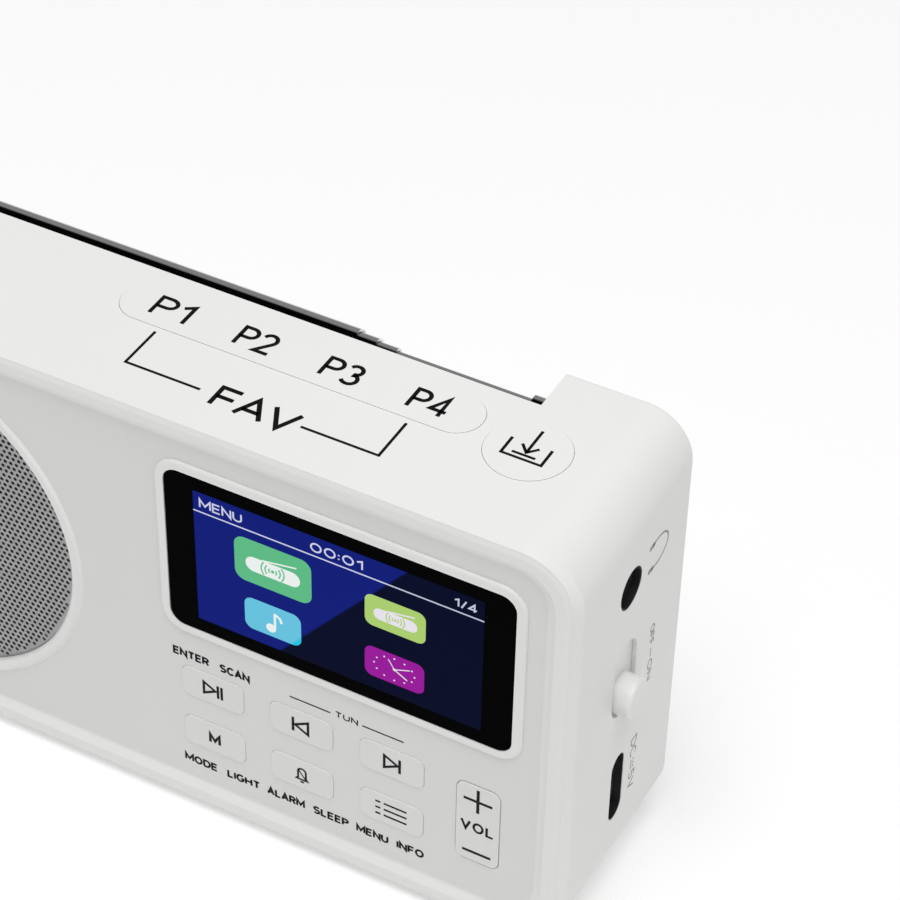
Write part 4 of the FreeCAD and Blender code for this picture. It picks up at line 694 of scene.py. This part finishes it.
def beside(node, dy, dz):
    """A place on the case's right side, in millimetres from the middle of a node."""
    spot = centre(node)
    return on_side((SIDE, spot.y + dy * MM, spot.z + dz * MM))


def print_headphones():
    arch = [(-2.2, -1.7)] + bowl(0.0, 0.0, 2.2, 3.1, 180, 0, 20) + [(2.2, -1.7)]
    pads = [rounded_outline(x - 0.38, -2.7, x + 0.38, -1.1, 0.3) for x in (-2.05, 2.05)]
    place = beside("headphone_jack", 7.7, 0.45)
    side_print(flat_piece("print_headphones", stroke(arch, 0.3) + pads, place))


def print_switch():
    """OFF, a bar and ON in one column behind the knob."""
    for name, words, dz, width in (("print_off", "OFF", 3.7, 3.8), ("print_on", "ON", -2.8, 3.9)):
        place = beside("power_switch_knob", SWITCH_PRINT_BEHIND, dz)
        side_print(text_piece(name, words, width, 1.4, place, 0.22))
    place = beside("power_switch_knob", SWITCH_PRINT_BEHIND, 0.45)
    side_print(flat_piece("print_switch_bar", [box_outline(-0.75, -0.1, 0.75, 0.1)], place))


def print_inlet():
    """DC 5V with the direct current sign between: a line over three dashes."""
    current = words_outlines("DC", 3.6, INLET_WORD_HEIGHT, INLET_WEIGHT)
    volts = words_outlines("5V", 3.5, INLET_WORD_HEIGHT, INLET_WEIGHT)
    sign = [box_outline(-0.75, -0.5, 1.0, -0.28)]
    sign += [box_outline(x - 0.2, 0.15, x + 0.2, 0.37) for x in (-0.55, 0.125, 0.8)]
    outlines = shifted(current, -3.2) + shifted(volts, 3.25) + sign
    side_print(flat_piece("print_inlet", outlines, beside("usb_port_sleeve", 4.9, 0.2)))


print_front_labels()
mark_front_keys()
print_top()
print_headphones()
print_switch()
print_inlet()


# ---------------------------------------------------------------- picture on the display
SCREEN_WIDTH, SCREEN_HEIGHT = 42.72, 22.83
DIAGONAL_NORMAL = Vector((0.7705, 0.0, -0.6375))
DIAGONAL_POINT = LENS + Vector((9.9, 0.0, 11.0)) * MM
DIAGONAL_REACH = 20.0 * MM
DIAGONAL_EDGE = 0.002


def on_lens(dx=0.0, dz=0.0):
    return on_front((LENS.x + dx * MM, LENS_FRONT, LENS.z + dz * MM))


def lit(name, first, second):
    """A lit display colour: first above and left of the picture's diagonal, second below it."""
    nodes = Nodes(name)
    coordinates = nodes.add("ShaderNodeTexCoord")
    dot = nodes.add("ShaderNodeVectorMath", operation="DOT_PRODUCT")
    nodes.link(coordinates.outputs["Object"], dot.inputs[0])
    dot.inputs[1].default_value = DIAGONAL_NORMAL
    crossing = DIAGONAL_NORMAL.dot(DIAGONAL_POINT)
    start, end = crossing - DIAGONAL_REACH, crossing + DIAGONAL_REACH
    across = nodes.between(dot.outputs["Value"], start, end)
    colour = nodes.ramp(across, [(0.5 - DIAGONAL_EDGE, first), (0.5 + DIAGONAL_EDGE, second)])
    nodes.link(colour, nodes.shader.inputs["Emission Color"])
    nodes.set(Emission_Strength=1.0, Specular_IOR_Level=0.015)
    dark = tuple(c * 0.01 for c in first)
    nodes.tint(400.0, dark, tuple(c * 1.3 for c in dark))
    nodes.roughness(600.0, 0.10, 0.16)
    nodes.bump(nodes.noise(6000.0, 2.0), 0.0000008)
    return nodes.material


def srgb(*levels):
    return tuple(((v / 255 + 0.055) / 1.055) ** 2.4 if v > 10 else v / 255 / 12.92 for v in levels)


M["screen"] = lit("screen_blue", srgb(14, 28, 118), srgb(3, 8, 36))
M["screen_text"] = lit("screen_text", srgb(205, 208, 235), srgb(196, 200, 222))
M["icon_green"] = lit("icon_green", srgb(94, 184, 132), srgb(94, 184, 132))
M["icon_cyan"] = lit("icon_cyan", srgb(102, 192, 220), srgb(34, 190, 226))
M["icon_lime"] = lit("icon_lime", srgb(176, 206, 124), srgb(170, 204, 112))
M["icon_magenta"] = lit("icon_magenta", srgb(160, 40, 160), srgb(150, 26, 152))
M["icon_mark"] = lit("icon_mark", srgb(232, 238, 236), srgb(228, 224, 232))

# name, words, place, width, height and weight of each word in the title row
SCREEN_WORDS = (
    ("screen_title", "MENU", -17.2, 9.65, 6.5, 1.6, 0.24),
    ("screen_clock", "00:01", 0.1, 9.6, 7.8, 1.6, 0.25),
    ("screen_page", "1/4", 18.7, 9.65, 3.3, 1.45, 0.23),
)
RULE_LOW, RULE_HIGH = 8.0, 8.2
# name, which is its colour too, then the left, low, right and high edges and the corner radius
TILES = (
    ("icon_green", -15.3, -1.0, -3.7, 6.6, 1.6),
    ("icon_cyan", -14.0, -9.4, -5.4, -3.8, 1.3),
    ("icon_lime", 4.2, -0.1, 13.1, 5.3, 1.2),
    ("icon_magenta", 4.2, -9.2, 13.0, -3.9, 1.2),
)
TILE_LAYER, MARK_LAYER, WAVE_LAYER = INK, 2 * INK, 3 * INK


def screen_piece(item, material):
    ride_piece(item, "case", material)


def show_background():
    half_w, half_h = SCREEN_WIDTH / 2, SCREEN_HEIGHT / 2
    sheet = [box_outline(-half_w, -half_h, half_w, half_h)]
    screen_piece(flat_piece("screen_background", sheet, on_lens()), "screen")
    rule = [box_outline(-half_w, RULE_LOW, half_w, RULE_HIGH)]
    screen_piece(flat_piece("screen_rule", rule, on_lens(), TILE_LAYER), "screen_text")
    for name, words, dx, dz, width, height, weight in SCREEN_WORDS:
        item = text_piece(name, words, width, height, on_lens(dx, dz), weight, base=TILE_LAYER)
        screen_piece(item, "screen_text")
    for name, x0, z0, x1, z1, radius in TILES:
        outline = [rounded_outline(x0, z0, x1, z1, radius)]
        screen_piece(flat_piece(name, outline, on_lens(), TILE_LAYER), name)


def tile_mark(name, outlines, dx, dz, base=MARK_LAYER, material="icon_mark"):
    screen_piece(flat_piece(name, outlines, on_lens(dx, dz), base), material)


def show_radio(name, dx, dz, scale, tile):
    """A small set with an aerial and, cut out in the tile's colour, its waves."""
    w, h = 4.1 * scale, 1.25 * scale
    tile_mark(f"{name}_case", [rounded_outline(-w, -h, w, h, h * 0.98)], dx, dz)
    aerial = stroke([(-1.6 * scale, h), (3.6 * scale, h + 0.95 * scale)], 0.22)
    tile_mark(f"{name}_aerial", aerial, dx, dz)
    waves = []
    for radius in (0.5, 1.0, 1.5):
        for start in (-40, 140):
            waves += stroke(arc_points(0, 0, radius * scale * 1.15, start, start + 80, 8), 0.2 * scale)
    waves += [disc_outline(0, 0, 0.26 * scale, 16)]
    tile_mark(f"{name}_waves", waves, dx, dz, WAVE_LAYER, tile)


def show_note():
    """A music note for the wireless input."""
    note = [box_outline(0.15, -1.3, 0.5, 1.55), disc_outline(-0.28, -1.3, 0.75)]
    note += stroke([(0.33, 1.45), (1.15, 0.95), (1.35, 0.2)], 0.38)
    tile_mark("music_note", note, -9.7, -6.6)


def show_clock():
    """A clock face with a dot for each hour, and three hands."""
    middle = (0.0, 0.0)
    face = []
    for hour in range(12):
        angle = math.radians(30 * hour)
        face.append(disc_outline(3.0 * math.sin(angle), 1.95 * math.cos(angle), 0.13, 10))
    face += stroke([(-0.9, 1.5), middle], 0.13)
    face += stroke([middle, (2.3, 0.9)], 0.15) + stroke([middle, (1.9, -1.1)], 0.19)
    face += [disc_outline(*middle, 0.22, 12)]
    tile_mark("clock_face", face, 8.6, -6.55)


show_background()
show_radio("band_one", -9.5, 2.45, 1.0, "icon_green")
show_radio("band_two", 8.7, 2.35, 0.78, "icon_lime")
show_note()
show_clock()


# ---------------------------------------------------------------- perforated grille
HOLE_RADIUS, HOLE_BEVEL = 0.28 * MM, 0.04 * MM
HOLE_PITCH, HOLE_ROW_STEP = 0.91 * MM, 0.88 * MM
HOLE_MARGIN = 0.52 * MM
SHEET_THICKNESS = 0.14 * MM
SHEET_CLEARANCE = 0.02 * MM
WELD = 1e-7


def perforated_grille():
    """The speaker's front sheet with its staggered round holes, on the plain disc's own place."""
    middle = (GRILLE_LOW + GRILLE_HIGH) / 2
    edge = (GRILLE_HIGH.x - GRILLE_LOW.x) / 2 - SHEET_CLEARANCE
    pitch, row_step = HOLE_PITCH, HOLE_ROW_STEP
    holes_within = edge - HOLE_MARGIN
    front, back = GRILLE_LOW.y, GRILLE_LOW.y + SHEET_THICKNESS
    verts, faces, index = [], [], {}

    def vertex(x, y, z):
        key = (round(x / WELD), round(y / WELD), round(z / WELD))
        if key not in index:
            index[key] = len(verts)
            verts.append((x, y, z))
        return index[key]

    def snapped(x, z):
        away = math.hypot(x, z)
        shrink = edge / away if away > edge else 1.0
        return middle.x + x * shrink, middle.z + z * shrink

    half_x, half_z = pitch / 2, row_step / 2
    around = [(1, 0), (1, 1), (0, 1), (-1, 1), (-1, 0), (-1, -1), (0, -1), (1, -1)]
    angles = [math.atan2(dz * half_z, dx * half_x) for dx, dz in around]
    sides = [(i, (i + 1) % len(around)) for i in range(len(around))]
    hole_rings = (
        (HOLE_RADIUS + HOLE_BEVEL, front),
        (HOLE_RADIUS, front + HOLE_BEVEL),
        (HOLE_RADIUS, back),
    )
    rows, columns = int(edge / row_step) + 1, int(edge / pitch) + 1
    border_use = {}
    for row in range(-rows, rows + 1):
        shift = half_x if row % 2 else 0.0
        for column in range(-columns - 1, columns + 1):
            x, z = column * pitch + shift, row * row_step
            corners = [(x + dx * half_x, z + dz * half_z) for dx, dz in around]
            if min(math.hypot(*corner) for corner in corners) > edge - SHEET_CLEARANCE:
                continue
            border = [snapped(*corner) for corner in corners]
            outer = [vertex(bx, front, bz) for bx, bz in border]
            outer_back = [vertex(bx, back, bz) for bx, bz in border]
            rings = [outer]
            if math.hypot(x, z) < holes_within:
                for radius, y in hole_rings:
                    ring = []
                    for angle in angles:
                        hx = middle.x + x + radius * math.cos(angle)
                        hz = middle.z + z + radius * math.sin(angle)
                        ring.append(vertex(hx, y, hz))
                    rings.append(ring)
                rings.append(outer_back)
                for near, far in zip(rings, rings[1:]):
                    for i, j in sides:
                        faces.append((near[i], near[j], far[j], far[i]))
            else:
                faces.append(tuple(outer))
                faces.append(tuple(reversed(outer_back)))
            for i, j in sides:
                pair = (outer[i], outer[j])
                mate = (outer[j], outer[i])
                if mate in border_use:
                    del border_use[mate]
                else:
                    border_use[pair] = (outer_back[i], outer_back[j])
    for (a, b), (c, d) in border_use.items():
        faces.append((b, a, c, d))
    mesh = bpy.data.meshes.new("speaker_mesh")
    mesh.from_pydata(verts, [], [face for face in faces if len(set(face)) == len(face)])
    work = bmesh.new()
    work.from_mesh(mesh)
    bmesh.ops.recalc_face_normals(work, faces=work.faces)
    work.to_mesh(mesh)
    work.free()
    return as_object("speaker_mesh", mesh)


grille = perforated_grille()
ride_piece(grille, "case", "grille")
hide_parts("speaker_grille")


# ---------------------------------------------------------------- camera, light and floor
WORLD_STRENGTH = 0.27
FLOOR_GLOW = 0.32
CAMERA_FROM_CORNER = Vector((107.41, -244.41, 246.38)) * MM
CAMERA_FORWARD = Vector((-0.3496, 0.6716, -0.6532))
CAMERA_DOWN = Vector((0.3223, -0.5684, -0.7570))
FOCAL_LENGTH, SENSOR_WIDTH = 120.48, 36.0
NEAREST_SEEN = 0.01
CORNER_BEHIND_RIM = 2.6 * MM
FLOOR_REACH = 3.0
SOFTBOX_PLACE, SOFTBOX_TARGET = (0.20, -0.31, 1.42), (0.0, 0.0, 0.04)
SOFTBOX_SIZE, SOFTBOX_POWER = (1.1, 1.1), 19.5


def make_camera():
    data = bpy.data.cameras.new("camera")
    data.lens = FOCAL_LENGTH
    data.sensor_width = SENSOR_WIDTH
    data.clip_start = NEAREST_SEEN
    camera = bpy.data.objects.new("camera", data)
    bpy.context.scene.collection.objects.link(camera)
    forward = CAMERA_FORWARD.normalized()
    up = -(CAMERA_DOWN - forward * CAMERA_DOWN.dot(forward)).normalized()
    right = forward.cross(up)
    corner = Vector((SIDE, RIM_FRONT + CORNER_BEHIND_RIM, TOP))
    turn = Matrix((right, up, -forward)).transposed().to_4x4()
    camera.matrix_world = Matrix.Translation(corner + CAMERA_FROM_CORNER) @ turn
    bpy.context.scene.camera = camera


def area_light(name, place, target, size, power):
    data = bpy.data.lights.new(name, "AREA")
    data.shape = "RECTANGLE"
    data.size, data.size_y = size
    data.energy = power
    lamp = bpy.data.objects.new(name, data)
    bpy.context.scene.collection.objects.link(lamp)
    lamp.location = place
    lamp.rotation_mode = "QUATERNION"
    lamp.rotation_quaternion = (Vector(target) - Vector(place)).to_track_quat("-Z", "Y")


def make_world():
    world = bpy.data.worlds.new("studio")
    bpy.context.scene.world = world
    world.use_nodes = True
    background = world.node_tree.nodes["Background"]
    background.inputs["Color"].default_value = (1.0, 1.0, 1.0, 1.0)
    background.inputs["Strength"].default_value = WORLD_STRENGTH


def make_floor():
    """A broad flat pale floor with a little glow of its own, which keeps its shadows light."""
    mesh = bpy.data.meshes.new("studio_floor")
    corners = [(x, y, 0.0) for x, y in box_outline(-FLOOR_REACH, -FLOOR_REACH, FLOOR_REACH, FLOOR_REACH)]
    mesh.from_pydata(corners, [], [(0, 1, 2, 3)])
    floor = as_object("studio_floor", mesh)
    nodes = Nodes("studio_floor")
    nodes.tint(2.0, (0.66, 0.66, 0.66), (0.67, 0.67, 0.67))
    nodes.roughness(3.0, 0.85, 0.95)
    nodes.set(Emission_Color=(1.0, 1.0, 1.0, 1.0), Emission_Strength=FLOOR_GLOW)
    nodes.set(Specular_IOR_Level=0.1)
    shade(floor, nodes.material)


make_camera()
make_world()
make_floor()
area_light("overhead_softbox", SOFTBOX_PLACE, SOFTBOX_TARGET, SOFTBOX_SIZE, SOFTBOX_POWER)
bpy.context.scene.view_settings.view_transform = "Standard"
